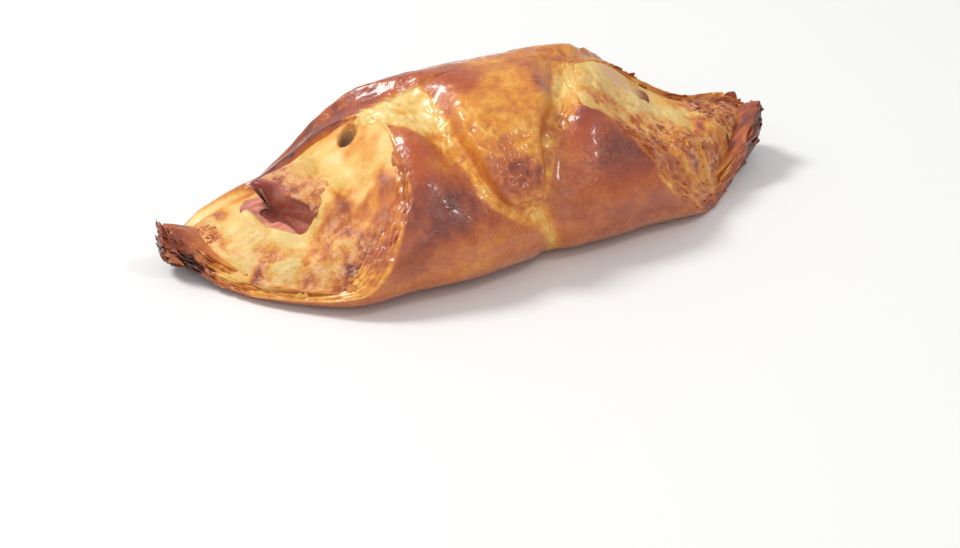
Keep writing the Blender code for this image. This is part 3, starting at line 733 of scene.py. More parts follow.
# How brown the cheese is: x, y, two reaches, value and strength.
CHEESE_PATCHES = (
    (-43, -19, 7, 5, 0.3, 0.9),
    (-40.5, -16, 4.5, 2.6, 0.36, 0.9),
    (-52, -17.5, 6, 2.2, 0.36, 0.9),
    (-52, -25, 15, 9, 0.38, 0.95),
    (-37, -24, 9, 8, 0.44, 1.0),
    (-30, -22, 3.5, 7, 0.46, 0.8),
    (-38, -21.5, 4, 2.4, 0.62, 1.0),
    (-34, -20, 2, 2, 0.6, 0.9),
    (-44, -17.5, 3.5, 2, 0.52, 0.9),
    (-34, -27, 5, 3, 0.66, 1.0),
    (-38, -29, 4, 2.5, 0.78, 0.9),
    (-43, -31, 6, 2.5, 0.66, 1.0),
    (-50, -27, 4, 3, 0.46, 0.8),
    (-46, -21, 2.6, 2, 0.28, 0.7),
    (-56, -15, 3.5, 3.5, 0.58, 1.0),
    (-59, -19, 2.5, 2.5, 0.5, 0.9),
    (-54, -21, 3, 2.5, 0.22, 0.8),
    (-60, -27, 6, 5, 0.38, 0.9),
    (-47, -26.5, 3, 2, 0.24, 0.7),
    (-49, -19, 6, 1.8, 0.42, 0.8),
    (-61, 6, 3, 4, 0.5, 1.0),
    (-65, 0, 3, 12, 0.5, 0.8),
    (-60, -4, 3, 3, 0.16, 0.8),
    (-48, 10, 9, 4, 0.42, 0.9),
    (-36, 12, 8, 4, 0.4, 0.8),
    (-30, -12, 4, 3, 0.26, 0.8),
    (-35, 5, 4, 3, 0.24, 0.8),
    (24, -4, 6, 9, 0.24, 0.9),
    (31, -11, 9, 4, 0.42, 0.9),
    (32, 6.5, 6, 3.5, 0.46, 0.9),
    (40, 4, 7, 3, 0.34, 0.8),
    (46, -4, 5, 5, 0.16, 0.8),
    (39, -8, 8, 2.5, 0.38, 0.8),
    (52, 2, 4, 3, 0.34, 0.8),
    (58, -2, 6, 8, 0.54, 0.9),
    (36, -19, 12, 6, 0.62, 1.0),
    (50, -15, 12, 6, 0.6, 1.0),
    (66, 2, 7, 14, 0.62, 1.0),
    (58, -14, 6, 4, 0.5, 0.9),
)

# Where ham shows through the cheese: x, y, reaches, 1 and strength.
HAM_TINGES = (
    (36, 0.5, 4.5, 2.8, 1.0, 0.9),
    (-45, 3, 5, 2, 1.0, 0.4),
)


def free_surface(x, y):
    """The height of the melted cheese where nothing covers it."""
    near = y < 0
    reach = np.where(near, along(NEAR_WIDTH, x), along(FAR_WIDTH, x)) - WALL / 2
    side = np.where(near, along(CHEESE_NEAR, x), along(CHEESE_FAR, x))
    top = along(CHEESE_TOP, x)
    lumps = CHEESE_LUMPS * np.sin(0.45 * x + 0.3 * y) * np.cos(0.5 * y - 0.2 * x)
    fall = np.clip(np.abs(y) / reach, 0, 1) ** CHEESE_FALL
    total = toward(top, side, fall) + lumps
    for (mound_x, mound_y), height, (reach_x, reach_y) in MOUNDS:
        square = ((x - mound_x) / reach_x) ** 2 + ((y - mound_y) / reach_y) ** 2
        total = total + height * np.exp(-square)
    return total


# Where dough and cheese are crinkled: x, y, two reaches, 1 and strength.
CRINKLES = (
    (-56, -19, 8, 6, 1.0, 1.0),
    (-50, -27, 16, 4.5, 1.0, 1.0),
    (-40, -30, 9, 4, 1.0, 0.8),
    (-64, 2, 4, 9, 1.0, 0.7),
    (-58, -10, 6, 6, 1.0, 0.7),
    (-45, -20, 8, 5, 1.0, 0.6),
    (48, -15, 13, 5, 1.0, 1.0),
    (62, 0, 8, 12, 1.0, 1.0),
    (28, -9, 10, 7, 1.0, 0.8),
    (40, -6, 11, 5, 1.0, 0.7),
)

# The tones between which the cheese comes to blister, its plain tone, how mottled that is, and how much
# more mottled it is where it is browner, between two tones again.
BLISTERED = (0.2, 0.45)
CHEESE_TONE = 0.08
CHEESE_MOTTLE = 0.16
BROWNED_MOTTLE = 0.24
MOTTLED = (0.16, 0.34)


def cheese_detail(x, y, bake):
    """Baked cheese's skin: smooth where it is pale, blistered where it is browned and crinkled by
    the dough. Returns the height, how much browner it makes each place and how crinkled it is."""
    place = level_place(x, y)
    crinkled = painted(0 * x, CRINKLES, x + rough(place, 5, 133), y + rough(place, 5, 137))
    browned = smooth(bake, *BLISTERED) * (1 - crinkled)
    blisters = browned * (1.5 * np.abs(rough(place, 4.4, 121, 2)) - 0.4)
    folds = 0.4 * creased(place, 3.2, 129) + 0.42 * creased(place, 1.9, 143, 2)
    height = 0.2 * rough(place, 5, 125) + 0.08 * rough(place, 1.6, 127, 2)
    height = height + blisters + crinkled * folds
    tint = 0.16 * blisters - crinkled * (0.1 * folds + 0.26 * rough(place, 2.4, 147))
    return height, tint, crinkled


def cheese_bake(x, y):
    """How brown the cheese is, with every patch's rim made uneven."""
    flat = level_place(x, y)
    drift_x, drift_y = x + rough(flat, 5, 131), y + rough(flat, 5, 135)
    bake = painted(CHEESE_TONE + 0 * x, CHEESE_PATCHES, drift_x, drift_y)
    mottle = CHEESE_MOTTLE + BROWNED_MOTTLE * smooth(bake, *MOTTLED)
    return bake + mottle * rough(flat, 3, 139, 4) + 0.12 * rough(flat, 9, 149, 2)


def ham_across(x, y):
    """The share across the ham at a place seen from above."""
    return (y / along(HAM_SPREAD, x) - HAM_NEAR) / (HAM_FAR - HAM_NEAR)


def ham_y(x, across):
    """The place along Y at a share across the ham."""
    return (HAM_NEAR + (HAM_FAR - HAM_NEAR) * across) * along(HAM_SPREAD, x)


def ham_bed(x, across):
    """The height of the middle of the ham's lower layer."""
    waves = HAM_WAVES * np.sin(0.16 * x + 2.5 * across)
    return along(HAM_LIFT, x) + along(HAM_TILT, across) + waves


def ham_roof(x, across):
    """The height of the middle of the ham's upper layer."""
    fork = along(LIP_FORK, across)
    raised = along(UPPER_LIP_RISE, across) * smooth(x, fork + FORK_LENGTH, fork)
    end = along(UPPER_LIP_END, across)
    curl = along(LIP_CURL, across) * smooth(x, end + LIP_CURL_LENGTH, end)
    return ham_bed(x, across) + HAM_THICKNESS + raised - curl


# The steam hole: its middle and reaches, its depth, and where its wall and its painted shade begin and
# are full by the square of the way out. A shallow hollow lies round it, with painted shade that browns
# it.
STEAM_HOLE = ((-31.4, -1.2), (1.9, 2.3))
HOLE_DEPTH = 3.2
HOLE_WALL = (1.4, 0.3)
HOLE_PAINTED_SHADE = (1.5, 0.6)
HOLLOW_REACH = 3.0
HOLLOW_DEPTH = 1.2
HOLLOW_PAINTED_SHADE = 0.3

# Where and how far the cheese is drawn level with the crust at the openings' upper ends, how far it
# stays under the far rim, and how far it sinks under the crust.
FLUSH_GIRTH = (0.74, 0.86)
FLUSH_REACH = 6.0
FLUSH_DROP = 0.05
FAR_DROP = 1.8
FAR_DROP_GIRTH = (0.97, 0.9)
UNDER_CRUST = 8.0
UNDER_CRUST_FROM = (0.2, -2.5)

# How far the cheese has run out over the cut face at the near side's two ends, from 0 at its
# lining edge to 1 at its crust edge, by girth.
LEFT_SPILL = ((-0.9, 1), (-0.8, 0.97), (-0.68, 0.66), (-0.56, 0.46), (-0.45, 0.56), (-0.38, 0.74),
              (-0.2, 0.8))
RIGHT_SPILL = ((-0.85, 0.9), (-0.75, 0.55), (-0.6, 0.2), (-0.42, 0.3), (-0.34, 0.7), (-0.1, 0.6))
LEFT_FAR_SPILL = ((0.4, 0.15), (0.6, 0.3), (0.75, 0.45), (0.93, 0.5))
RIGHT_FAR_SPILL = ((0.55, 0.3), (0.65, 0.6), (0.8, 0.75), (0.97, 0.8))
RIM_REACH = (3.5, 5.0)

# The cheese's rims: the girths that each follows at the left end, its places inside the pocket where
# nobody sees it, as x, y and z, and the girths at the right end.
NEAR_RIM = ((-0.24, -0.87), LEFT_SPILL, ((-21, -9, 24), (15, -9, 24)), (-0.81, -0.12), RIGHT_SPILL)
FAR_RIM = ((0.42, 0.93), LEFT_FAR_SPILL, ((-25, 8, 25), (22, 8, 24)), (0.97, 0.6), RIGHT_FAR_SPILL)


def cut_point(w, out, way):
    """A point of the dough's straight cut face, at the left end where way is -1 and at the right one
    where it is 1: on its lining edge where out is 0, and on its crust edge where it is 1."""
    outline, slant = (LEFT_EDGE, LEFT_SLANT) if way < 0 else (RIGHT_EDGE, RIGHT_SLANT)
    edge = along(outline, w)
    y, z = wrap_point(w, edge, -relief(w, edge))
    crust = np.stack([edge, y, z], -1)
    inner = edge + way * along(slant, w)
    y, z = wrap_point(w, inner, thickness(w, inner))
    lining = np.stack([inner, y, z], -1)
    return toward(lining, crust, out[:, None])


def cheese_rims(x):
    """The cheese's near and far rims at each x, as y and z, read along the dough's cut edges."""
    rims = []
    for left_girths, left_spill, hidden, right_girths, right_spill in (NEAR_RIM, FAR_RIM):
        w = np.linspace(*left_girths, RIM_STEPS)
        left = cut_point(w, along(left_spill, w), -1)
        w = np.linspace(*right_girths, RIM_STEPS)
        right = cut_point(w, along(right_spill, w), 1)
        rim = np.concatenate([left, hidden, right])
        place = np.maximum.accumulate(rim[:, 0])
        rims += [np.interp(x, place, rim[:, 1]), np.interp(x, place, rim[:, 2])]
    return rims


def cheese_top(x, y, rims):
    """The free surface, drawn to the height of each rim near it."""
    near_y, near_z, far_y, far_z = rims
    top = free_surface(x, y)
    for rim_y, rim_z, reach in ((near_y, near_z, RIM_REACH[0]), (far_y, far_z, RIM_REACH[1])):
        top = top + (rim_z - free_surface(x, rim_y)) * hump(y, rim_y, reach)
    return top


def level_with_crust(top, x, y):
    """The top drawn level with the crust beside the openings' upper ends, and sunk beneath it."""
    w = girth_above(x, y)
    far_side = smooth(w, *FAR_DROP_GIRTH) * (w > 0)
    level = wrap_point(w, x, -relief(w, x))[1] - FLUSH_DROP - FAR_DROP * far_side
    inside = np.maximum(along(LEFT_EDGE, w) - x, x - along(RIGHT_EDGE, w))
    at_top = smooth(np.abs(w), *FLUSH_GIRTH)
    top = toward(top, level, at_top * hump(np.maximum(inside, 0), 0, FLUSH_REACH))
    return top - UNDER_CRUST * at_top * smooth(inside, *UNDER_CRUST_FROM)


def beside_ham(x, y):
    """The height of the cheese heaped against the near fold of the ham."""
    across = ham_across(x, y)
    apart = -across * (HAM_FAR - HAM_NEAR) * along(HAM_SPREAD, x)
    heap = ham_roof(x, np.clip(across, 0, 1)) + HEAP_RISE - HEAP_SLOPE * np.maximum(apart, 0)
    return np.where(apart > 0, heap, 0) * smooth(x, *HEAP_START) * smooth(x, *HEAP_END)


# The bed that the ham's lower lip lies in: its sides by the share across the ham, how far it runs past
# the fork, where it starts from the lip's rim, and how far it lies under the middle of the ham's lower
# layer. The lip's rim is sunk in the cheese between two shares across, where the bed starts further in.
BED_NEAR = (0.0, 0.06)
BED_FAR = (1.04, 0.98)
BED_PAST_FORK = 1.2
BED_START = (-1.5, 0.5)
BED_START_SUNK = (1.7, 1.3)
BED_DROP = 0.6
SUNK_FAR = (0.75, 0.6)
SUNK_NEAR = (-0.12, 0)
LEAST_CHEESE = 0.3


def bedded(top, x, y):
    """The cheese's top dipped before the ham's mouth, drawn up over the lower lip's rim, and cut down
    to a bed where the ham lies."""
    across = ham_across(x, y)
    lip = along(LOWER_LIP_END, across)
    (dip_x, dip_y), (dip_long, dip_wide), dip_level = MOUTH_DIP
    away = ((x - dip_x) / dip_long) ** 2 + ((y - dip_y) / dip_wide) ** 2
    top = toward(top, np.minimum(top, dip_level), np.exp(-(away**1.5)))
    sunk = smooth(across, *SUNK_FAR) * smooth(across, *SUNK_NEAR)
    over_lip = np.maximum(ham_bed(x, across) + LIP_COVER - top, 0)
    top = top + over_lip * sunk * hump(x, lip, LIP_COVER_REACH)
    low, high = (lip + start + more * sunk for start, more in zip(BED_START, BED_START_SUNK))
    slot = smooth(x, low, high) * smooth(across, *BED_NEAR) * smooth(across, *BED_FAR)
    slot = slot * (x < along(LIP_FORK, across) + BED_PAST_FORK)
    bed = np.minimum(top, ham_bed(x, across) - BED_DROP)
    return np.maximum(toward(top, bed, slot), CHEESE_FLOOR + LEAST_CHEESE)


def cheese_surface():
    """The cheese as rings round X: its top from the near rim to the far one, and back below. Its
    detail fades out at both rims."""
    x = np.linspace(*CHEESE_ENDS, CHEESE_ALONG)[:, None]
    share = np.linspace(0, 1, CHEESE_ACROSS)[None, :]
    rims = cheese_rims(x)
    near_y, near_z, far_y, far_z = rims
    y = toward(near_y, far_y, share)
    x = x + 0 * y
    bake = cheese_bake(x, y)
    detail, tint, crinkled = cheese_detail(x, y, bake)
    top = np.maximum(level_with_crust(cheese_top(x, y, rims), x, y), beside_ham(x, y))
    top = top + detail * np.sin(np.pi * share) ** 0.4
    (hole_x, hole_y), (hole_long, hole_wide) = STEAM_HOLE
    inside = ((x - hole_x) / hole_long) ** 2 + ((y - hole_y) / hole_wide) ** 2
    hollow = np.exp(-inside / HOLLOW_REACH**2)
    top = top - HOLLOW_DEPTH * hollow - HOLE_DEPTH * smooth(inside, *HOLE_WALL)
    # Painted shade: the hollow round the steam hole is drawn browner.
    bake = bake + tint + HOLLOW_PAINTED_SHADE * hollow
    top = bedded(top, x, y)
    back = np.linspace(1, 0, CHEESE_BOTTOM + 2)[None, 1:-1]
    low_y = toward(near_y, far_y, back)
    low_x = x[:, :1] + 0 * low_y
    low = np.minimum(CHEESE_FLOOR, np.minimum(near_z, far_z) - 1) + 0 * low_y
    rings = np.concatenate([np.stack([x, y, top], -1), np.stack([low_x, low_y, low], -1)], axis=1)
    # The deep value is painted shade, darkening the steam hole's inside.
    values = {"bake": bake, "deep": smooth(inside, *HOLE_PAINTED_SHADE), "crinkle": crinkled}
    values["tinge"] = painted(0 * x, HAM_TINGES, x, y)
    return rings, {key: np.concatenate([value, 0 * low], axis=1) for key, value in values.items()}


# The cheese over the ham's upper lip: its shares across the ham, how far it reaches past the fork, how
# far its under side sits in the ham, how thick it is at least and how high it is crumpled, the shares
# that its sides and its lip take to rise, and its uneven fringe's depth and rate.
MOUND_ACROSS = (-0.02, 1.02)
MOUND_PAST_FORK = 9.0
MOUND_SINK = 0.4
MOUND_LEAST = 0.8
MOUND_CRUMPLE = 1.3
MOUND_SIDE = 0.12
MOUND_LIP = 0.14
MOUND_FRINGE = (0.3, 15)


def mound_surface():
    """The cheese over the ham's upper lip: a thick skin whose under side lies on the lip. It rises as
    a square root from its sides and its lip, and is sunk at its inner end."""
    across = np.linspace(*MOUND_ACROSS, MOUND_GRID[0])[:, None]
    turn = np.linspace(0, 2 * np.pi, MOUND_GRID[1], endpoint=False)[None, :]
    low = along(UPPER_LIP_END, across) + along(LIP_SHOWN, across)
    low = low + MOUND_FRINGE[0] * np.sin(MOUND_FRINGE[1] * across)
    high = along(LIP_FORK, across) + MOUND_PAST_FORK
    share = (1 - np.cos(turn)) / 2
    x = toward(low, high, share)
    y = ham_y(x, across)
    under = ham_roof(x, across) + HAM_THICKNESS / 2 - MOUND_SINK
    flat = level_place(x, y)
    crumple = np.abs(rough(flat, 2.6, 151, 4))
    bake = cheese_bake(x, y)
    detail, tint, crinkled = cheese_detail(x, y, bake)
    at_lip = smooth(share, 0.75, 0.3)
    over = level_with_crust(cheese_top(x, y, cheese_rims(x)), x, y) + detail
    over = np.maximum(over + MOUND_CRUMPLE * crumple * at_lip, under + MOUND_LEAST)
    from_side = np.minimum(across - MOUND_ACROSS[0], MOUND_ACROSS[1] - across)
    sides = np.clip(from_side / MOUND_SIDE, 0, 1) ** 0.5
    rise = np.clip(share / MOUND_LIP, 0, 1) ** 0.5
    z = under + (over - under) * rise * sides * (turn < np.pi)
    z = z - 0.1 - 1.5 * smooth(share, 0.7, 1.0)
    browner = 0.08 + 0.3 * smooth(share, 0.4, 0.05) + 0.34 * rough(flat, 2.6, 155) + 0.14 * crumple
    bake = bake + tint + browner * at_lip + 0.1 * smooth(share, 0.95, 0.6)
    tinge = 0.4 * smooth(share, 0.3, 0.1) * smooth(across, 0.5, 0.9)
    values = {"bake": bake, "deep": 0 * bake, "crinkle": np.maximum(crinkled, at_lip), "tinge": tinge}
    return np.stack([x, y, z], -1), values


# The ham's dark rims: how far each reaches in, how dark the inner side's is, and how dark the fold is
# and where, by the way round it, the share across and x. Then where the painted shade deep in the
# mouth begins and is full, past the rim, and where the slice turns pale to the right.
LOWER_RIM = 2.0
UPPER_RIM_MORE = 1.4
RIGHT_RIM = 3.4
INNER_RIM = 0.55
FOLD_DARK = 0.85
FOLD_ROUND = (1.9, 1.4)
FOLD_ACROSS = (0.62, 0.2)
FOLD_ALONG = (-38, -42)
MOUTH_PAINTED_SHADE = (7, 14)
RIGHT_PALE = (15, 25)


def ham_surface():
    """The ham as rings along X: a sheet folded in two about its near side, as a C on its back. The
    sheet's place runs from the upper layer's far edge, round the fold, to the lower one's."""
    place = np.linspace(0, 1, HAM_SHEET)[None, :]
    upper = smooth(place, HAM_FOLD[0], HAM_FOLD[0] - 0.02)
    turn = np.pi * np.clip((place - HAM_FOLD[0]) / (HAM_FOLD[1] - HAM_FOLD[0]), 0, 1)
    across = np.where(place < 0.5, 1 - place / HAM_FOLD[0], (place - HAM_FOLD[1]) / (1 - HAM_FOLD[1]))
    across = np.clip(across, 0, 1) ** 0.85
    end = np.where(place < 0.5, along(UPPER_LIP_END, across), along(LOWER_LIP_END, across))
    end = toward(end, FOLD_END, np.sin(turn) ** 0.7)
    end = end + 0.5 * grain(np.stack([place * 40, 0 * place, 0 * place], -1), 2.2, 163)
    right = HAM_RIGHT - HAM_ROUNDING * (2 * across - 1) ** 2
    share = (1 - np.cos(np.linspace(0, np.pi, HAM_ALONG)))[:, None] / 2
    x = toward(end, right, share)
    low, high = ham_bed(x, across), ham_roof(x, across)
    radius = (high - low) / 2
    z = (low + high) / 2 + radius * np.cos(turn)
    bulge = FOLD_DRAWN_IN - FOLD_BULGE * radius * np.sin(turn)
    y = ham_y(x, across) + bulge * (1 - smooth(across, 0, FOLD_REACH))
    half = HAM_THICKNESS / 2
    to_rim = np.clip((x - end) / half, 0, 1)
    to_right = np.clip((right - x) / half, 0, 1)
    to_side = np.clip(np.minimum(place, 1 - place) / 0.03, 0, 1)
    thick = half
    for reach in (to_rim, to_right, to_side):
        thick = thick * np.sqrt(1 - (1 - reach) ** 2 * 0.999)
    flat = np.stack([x, y, 6 * place + 0 * x], -1)
    z = z + 0.4 * rough(flat, 3.5, 161, 3)
    out_y, out_z = -np.sin(turn), np.cos(turn)
    outer = np.stack([x, y + out_y * thick, z + out_z * thick], -1)
    inner = np.stack([x, y - out_y * thick, z - out_z * thick], -1)[:, ::-1]
    rim = hump(x, end, LOWER_RIM + UPPER_RIM_MORE * upper) * (0.95 + 0.4 * rough(flat, 2, 165))
    rim = rim * (0.4 + 0.8 * smooth(across, 0.25, 0.6))
    folded = smooth(turn + 0.5 * rough(flat, 3, 167), *FOLD_ROUND)
    folded = folded * smooth(across, *FOLD_ACROSS) * smooth(x, *FOLD_ALONG)
    rim = np.maximum(rim, FOLD_DARK * folded)
    # Painted shade inside the mouth, growing with the way in past the rim.
    deep = smooth(x - end, *MOUTH_PAINTED_SHADE)
    rings = np.concatenate([outer, inner], axis=1)
    rims = np.concatenate([rim, INNER_RIM * rim[:, ::-1]], axis=1)
    depth = np.concatenate([0 * deep, deep[:, ::-1]], axis=1)
    end_rim = hump(x, right, RIGHT_RIM)
    end_rims = np.concatenate([end_rim, end_rim[:, ::-1]], axis=1)
    pale = smooth(rings[..., 0], *RIGHT_PALE)
    return rings, {"rim": np.maximum(rims, end_rims), "depth": depth, "pale": pale}


# Loose flakes at the cut edges: girth range, end (-1 left, 1 right), count, length, width, how far
# each is turned up and how brown it is. Then their grid and thickness, how deep their root lies, how
# ragged they are, how they curl and sway by their width, and from where their rim is thinner.
FLAKES = (
    ((-0.12, 0.3), -1, 60, (2.0, 5.0), (0.8, 2.6), 0.7, 0.68),
    # Flakes under the left corner: burnt dark, and darker still as painted shade beneath the tip.
    ((-0.3, -0.1), -1, 24, (3.0, 6.0), (0.5, 1.4), 0.2, 0.84),
    ((-0.46, -0.28), -1, 40, (2.5, 6), (0.6, 1.6), 0.1, 0.42),
    ((-0.75, -0.46), -1, 24, (2.5, 6), (0.4, 1.0), 0.2, 0.46),
    ((-0.72, -0.2), 1, 60, (3, 8), (0.5, 1.3), 0.3, 0.5),
    ((-0.2, 0.6), 1, 50, (2, 5), (0.6, 1.8), 0.4, 0.76),
    ((0.62, 0.92), 1, 26, (3, 7), (0.5, 1.4), 0.1, 0.7),
)
FLAKE_GRID = (7, 5)
FLAKE_THICKNESS = 0.28
FLAKE_ROOT = -0.25
FLAKE_RAGGED = 0.5
FLAKE_CURL = (0.1, 0.5)
FLAKE_SWAY = 0.25
FLAKE_RIM = (0.9, 0.3)


def unit(vectors):
    """The vectors at a length of 1."""
    return vectors / np.linalg.norm(vectors, axis=-1, keepdims=True)


def flake_roots(draw):
    """Where the flakes are rooted in the cut faces, their three directions, lengths, widths and
    tones, each joined over all the kinds."""
    leaves = []
    for (low, high), way, count, lengths, widths, upturn, bake in FLAKES:
        w = draw.uniform(low, high, count)
        out = draw.uniform(0.05, 0.95, count)
        root = cut_point(w, out, way)
        forward = unit(cut_point(w + 0.01, out, way) - cut_point(w - 0.01, out, way))
        across = cut_point(w, out + 0.05, way) - cut_point(w, out - 0.05, way)
        outward = unit(np.cross(forward, across))
        outward = outward * np.sign(outward[:, :1]) * way
        outward = outward + np.array([0, 0, 1]) * (upturn * draw.uniform(0, 1.4, count))[:, None]
        outward = unit(outward)
        upward = np.cross(forward, outward)
        upward = upward * np.sign(upward[:, 2:])
        length = draw.uniform(*lengths, count)
        width = draw.uniform(*widths, count)
        tone = draw.uniform(-0.08, 0.08, count) + bake
        leaves.append((root, forward, outward, upward, length, width, tone))
    return [np.concatenate(part) for part in zip(*leaves)]


def flake_surfaces():
    """Thin torn leaves rooted in the cut faces: each is a small sheet, as long along the edge and as
    wide outwards as drawn, its free side ragged and turned up. Rings are joined leaf by leaf."""
    draw = np.random.default_rng(201)
    root, forward, outward, upward, length, width, bake = flake_roots(draw)
    total = len(length)
    u = np.linspace(-1, 1, FLAKE_GRID[0])[:, None] + np.zeros(FLAKE_GRID)
    v = np.linspace(FLAKE_ROOT, 1, FLAKE_GRID[1])[None, :] + np.zeros(FLAKE_GRID)
    torn = 1 + FLAKE_RAGGED * draw.uniform(-1, 1, (total, FLAKE_GRID[0]))
    reach = v[None] * torn[:, :, None] * np.where(v[None] > 0, np.sqrt(1 - 0.9 * u[None] ** 2), 1)
    curl = draw.uniform(*FLAKE_CURL, total)[:, None, None] * reach**2
    sway = draw.uniform(-FLAKE_SWAY, FLAKE_SWAY, total)[:, None, None] * u[None] ** 2

    def spread(direction, amount):
        return direction[:, None, None, :] * amount[..., None]

    middle = root[:, None, None, :] + spread(forward, 0.5 * length[:, None, None] * u[None])
    middle = middle + spread(outward, width[:, None, None] * reach)
    middle = middle + spread(upward, width[:, None, None] * (curl + sway))
    thinner = np.where(v > FLAKE_RIM[0], FLAKE_RIM[1], 1)[None]
    half = spread(upward, FLAKE_THICKNESS / 2 * thinner + 0 * reach)
    tone = bake[:, None, None] + 0.12 * reach - 0.06
    return np.stack([middle + half, middle - half], 1), np.stack([tone, tone - 0.1], 1)


def sheet_faces(rows, cols):
    """Faces of a thin closed sheet: a top and a bottom grid, and the strip round their border."""
    grid = np.arange(rows * cols).reshape(rows, cols)
    top = np.stack([grid[:-1, :-1], grid[1:, :-1], grid[1:, 1:], grid[:-1, 1:]], -1).reshape(-1, 4)
    bottom = top[:, ::-1] + rows * cols
    border = np.concatenate([grid[:, 0], grid[-1, 1:], grid[-2::-1, -1], grid[0, -2:0:-1]])
    after = np.roll(border, -1)
    strip = np.stack([after, border, border + rows * cols, after + rows * cols], -1)
    return np.concatenate([top, bottom, strip])


def flakes_piece(name, material):
    """All the flakes as one mesh of small closed sheets."""
    points, tones = flake_surfaces()
    total, size = len(points), points[0, 0, ..., 0].size
    faces = sheet_faces(*FLAKE_GRID)
    quads = (faces[None] + 2 * size * np.arange(total)[:, None, None]).reshape(-1, 4)
    values = {"bake": tones.reshape(-1)}
    return mesh_piece(name, points.reshape(-1, 3), quads.tolist(), values, material)


# Baked scabs and torn bits of dough that lie on the cheese: middle x and y, reaches, count, sizes
# and how brown. Then their grid and thickness, how far from its poles a ball is cut off, how ragged
# and how narrow they are, and how far they keep from the cheese's rims.
SCABS = (
    ((-65, 1), (2.4, 5), 26, (0.3, 1.0), 0.46),
    ((-60, -25), (6, 2.4), 36, (0.3, 0.9), 0.3),
    ((47, -15), (12, 3.5), 90, (0.4, 1.3), 0.42),
    ((62, -2), (5, 6), 90, (0.4, 1.3), 0.56),
)
SCAB_GRID = (10, 5)
SCAB_THICKNESS = 0.2
SCAB_POLE = 0.3
SCAB_RAGGED = 0.35
SCAB_NARROW = (0.35, 0.8)
SCAB_FROM_RIM = 0.3


def scab_surfaces():
    """Flat ragged bits that follow the cheese: each a squashed ball whose radius is roughened."""
    draw = np.random.default_rng(301)
    bits = []
    for (at_x, at_y), (reach_x, reach_y), count, (low, high), bake in SCABS:
        x = at_x + reach_x * np.clip(draw.normal(0, 0.5, count), -1, 1)
        y = at_y + reach_y * np.clip(draw.normal(0, 0.5, count), -1, 1)
        bits.append((x, y, draw.uniform(low, high, count), bake + draw.uniform(-0.2, 0.16, count)))
    middle_x, middle_y, radius, bake = (np.concatenate(part)[:, None, None] for part in zip(*bits))
    total = len(radius)
    turn = np.linspace(0, 2 * np.pi, SCAB_GRID[0], endpoint=False)[None, :, None]
    rise = np.linspace(SCAB_POLE, np.pi - SCAB_POLE, SCAB_GRID[1])[None, None, :]
    ragged = 1 + SCAB_RAGGED * draw.uniform(-1, 1, (total, SCAB_GRID[0], 1))
    reach = radius * ragged * np.sin(rise)
    spin = draw.uniform(0, np.pi, (total, 1, 1))
    long = reach * np.cos(turn)
    wide = reach * np.sin(turn) * draw.uniform(*SCAB_NARROW, (total, 1, 1))
    x = middle_x + long * np.cos(spin) - wide * np.sin(spin)
    y = middle_y + long * np.sin(spin) + wide * np.cos(spin)
    near_y, _, far_y, _ = cheese_rims(x)
    y = np.clip(y, near_y + SCAB_FROM_RIM, far_y - SCAB_FROM_RIM)
    ground = cheese_top(x, y, cheese_rims(x))
    z = ground + SCAB_THICKNESS * (np.cos(rise) + draw.uniform(0.2, 1.2, (total, SCAB_GRID[0], 1)))
    return np.stack([x, y, z], -1), bake + 0.1 * np.cos(rise) + 0 * x


def ball_faces(rounds, levels):
    """Faces of a ball's grid that closes round its axis, with its two ends closed by one face each."""
    grid = np.arange(rounds * levels).reshape(rounds, levels)
    ahead = np.roll(grid, -1, axis=0)
    quads = np.stack([grid[:, :-1], grid[:, 1:], ahead[:, 1:], ahead[:, :-1]], -1).reshape(-1, 4)
    return quads, grid[::-1, 0], grid[:, -1]


def scabs_piece(name, material):
    """All the scabs as one mesh of small closed bits."""
    points, tones = scab_surfaces()
    total, size = len(points), SCAB_GRID[0] * SCAB_GRID[1]
    starts = size * np.arange(total)
    quads, low_end, high_end = ball_faces(*SCAB_GRID)
    faces = (quads[None] + starts[:, None, None]).reshape(-1, 4).tolist()
    faces += (low_end[None, ::-1] + starts[:, None]).tolist()
    faces += (high_end[None, ::-1] + starts[:, None]).tolist()
    values = {"bake": tones.reshape(-1)}
    return mesh_piece(name, points.reshape(-1, 3), faces, values, material)


def grid_faces(count, size, wrap):
    """Four-sided faces of a grid whose columns close on themselves, and its rows too if wrap."""
    i = np.arange(count if wrap else count - 1)[:, None]
    j = np.arange(size)[None, :]
    here, there, after = i * size, (i + 1) % count * size, (j + 1) % size
    return np.stack([here + j, there + j, there + after, here + after], -1).reshape(-1, 4)


def surface_piece(name, surface, material, wrap=False):
    """A closed mesh through rings of points, with its ends closed by fans unless it wraps. Its faces
    are turned to point outwards by the sign of its volume."""
    rings, attributes = surface
    count, size = rings.shape[:2]
    points = rings.reshape(-1, 3)
    quads = grid_faces(count, size, wrap)
    fans = np.zeros((0, 3), int)
    if not wrap:
        first, last = count * size, count * size + 1
        points = np.concatenate([points, rings[:1].mean(1), rings[-1:].mean(1)])
        j = np.arange(size)
        after = (j + 1) % size
        start = np.stack([0 * j + first, j, after], -1)
        end = np.stack([0 * j + last, (count - 1) * size + after, (count - 1) * size + j], -1)
        fans = np.concatenate([start, end])
    corner = points[quads]
    diagonal = np.cross(corner[:, 2] - corner[:, 0], corner[:, 3] - corner[:, 1])
    if (corner.mean(1) * diagonal).sum() < 0:
        quads, fans = quads[:, ::-1], fans[:, ::-1]
    flat = {}
    for key, values in attributes.items():
        ends = [] if wrap else [values[:1].mean(1), values[-1:].mean(1)]
        flat[key] = np.concatenate([values.reshape(-1), *ends])
    return mesh_piece(name, points, quads.tolist() + fans.tolist(), flat, material)


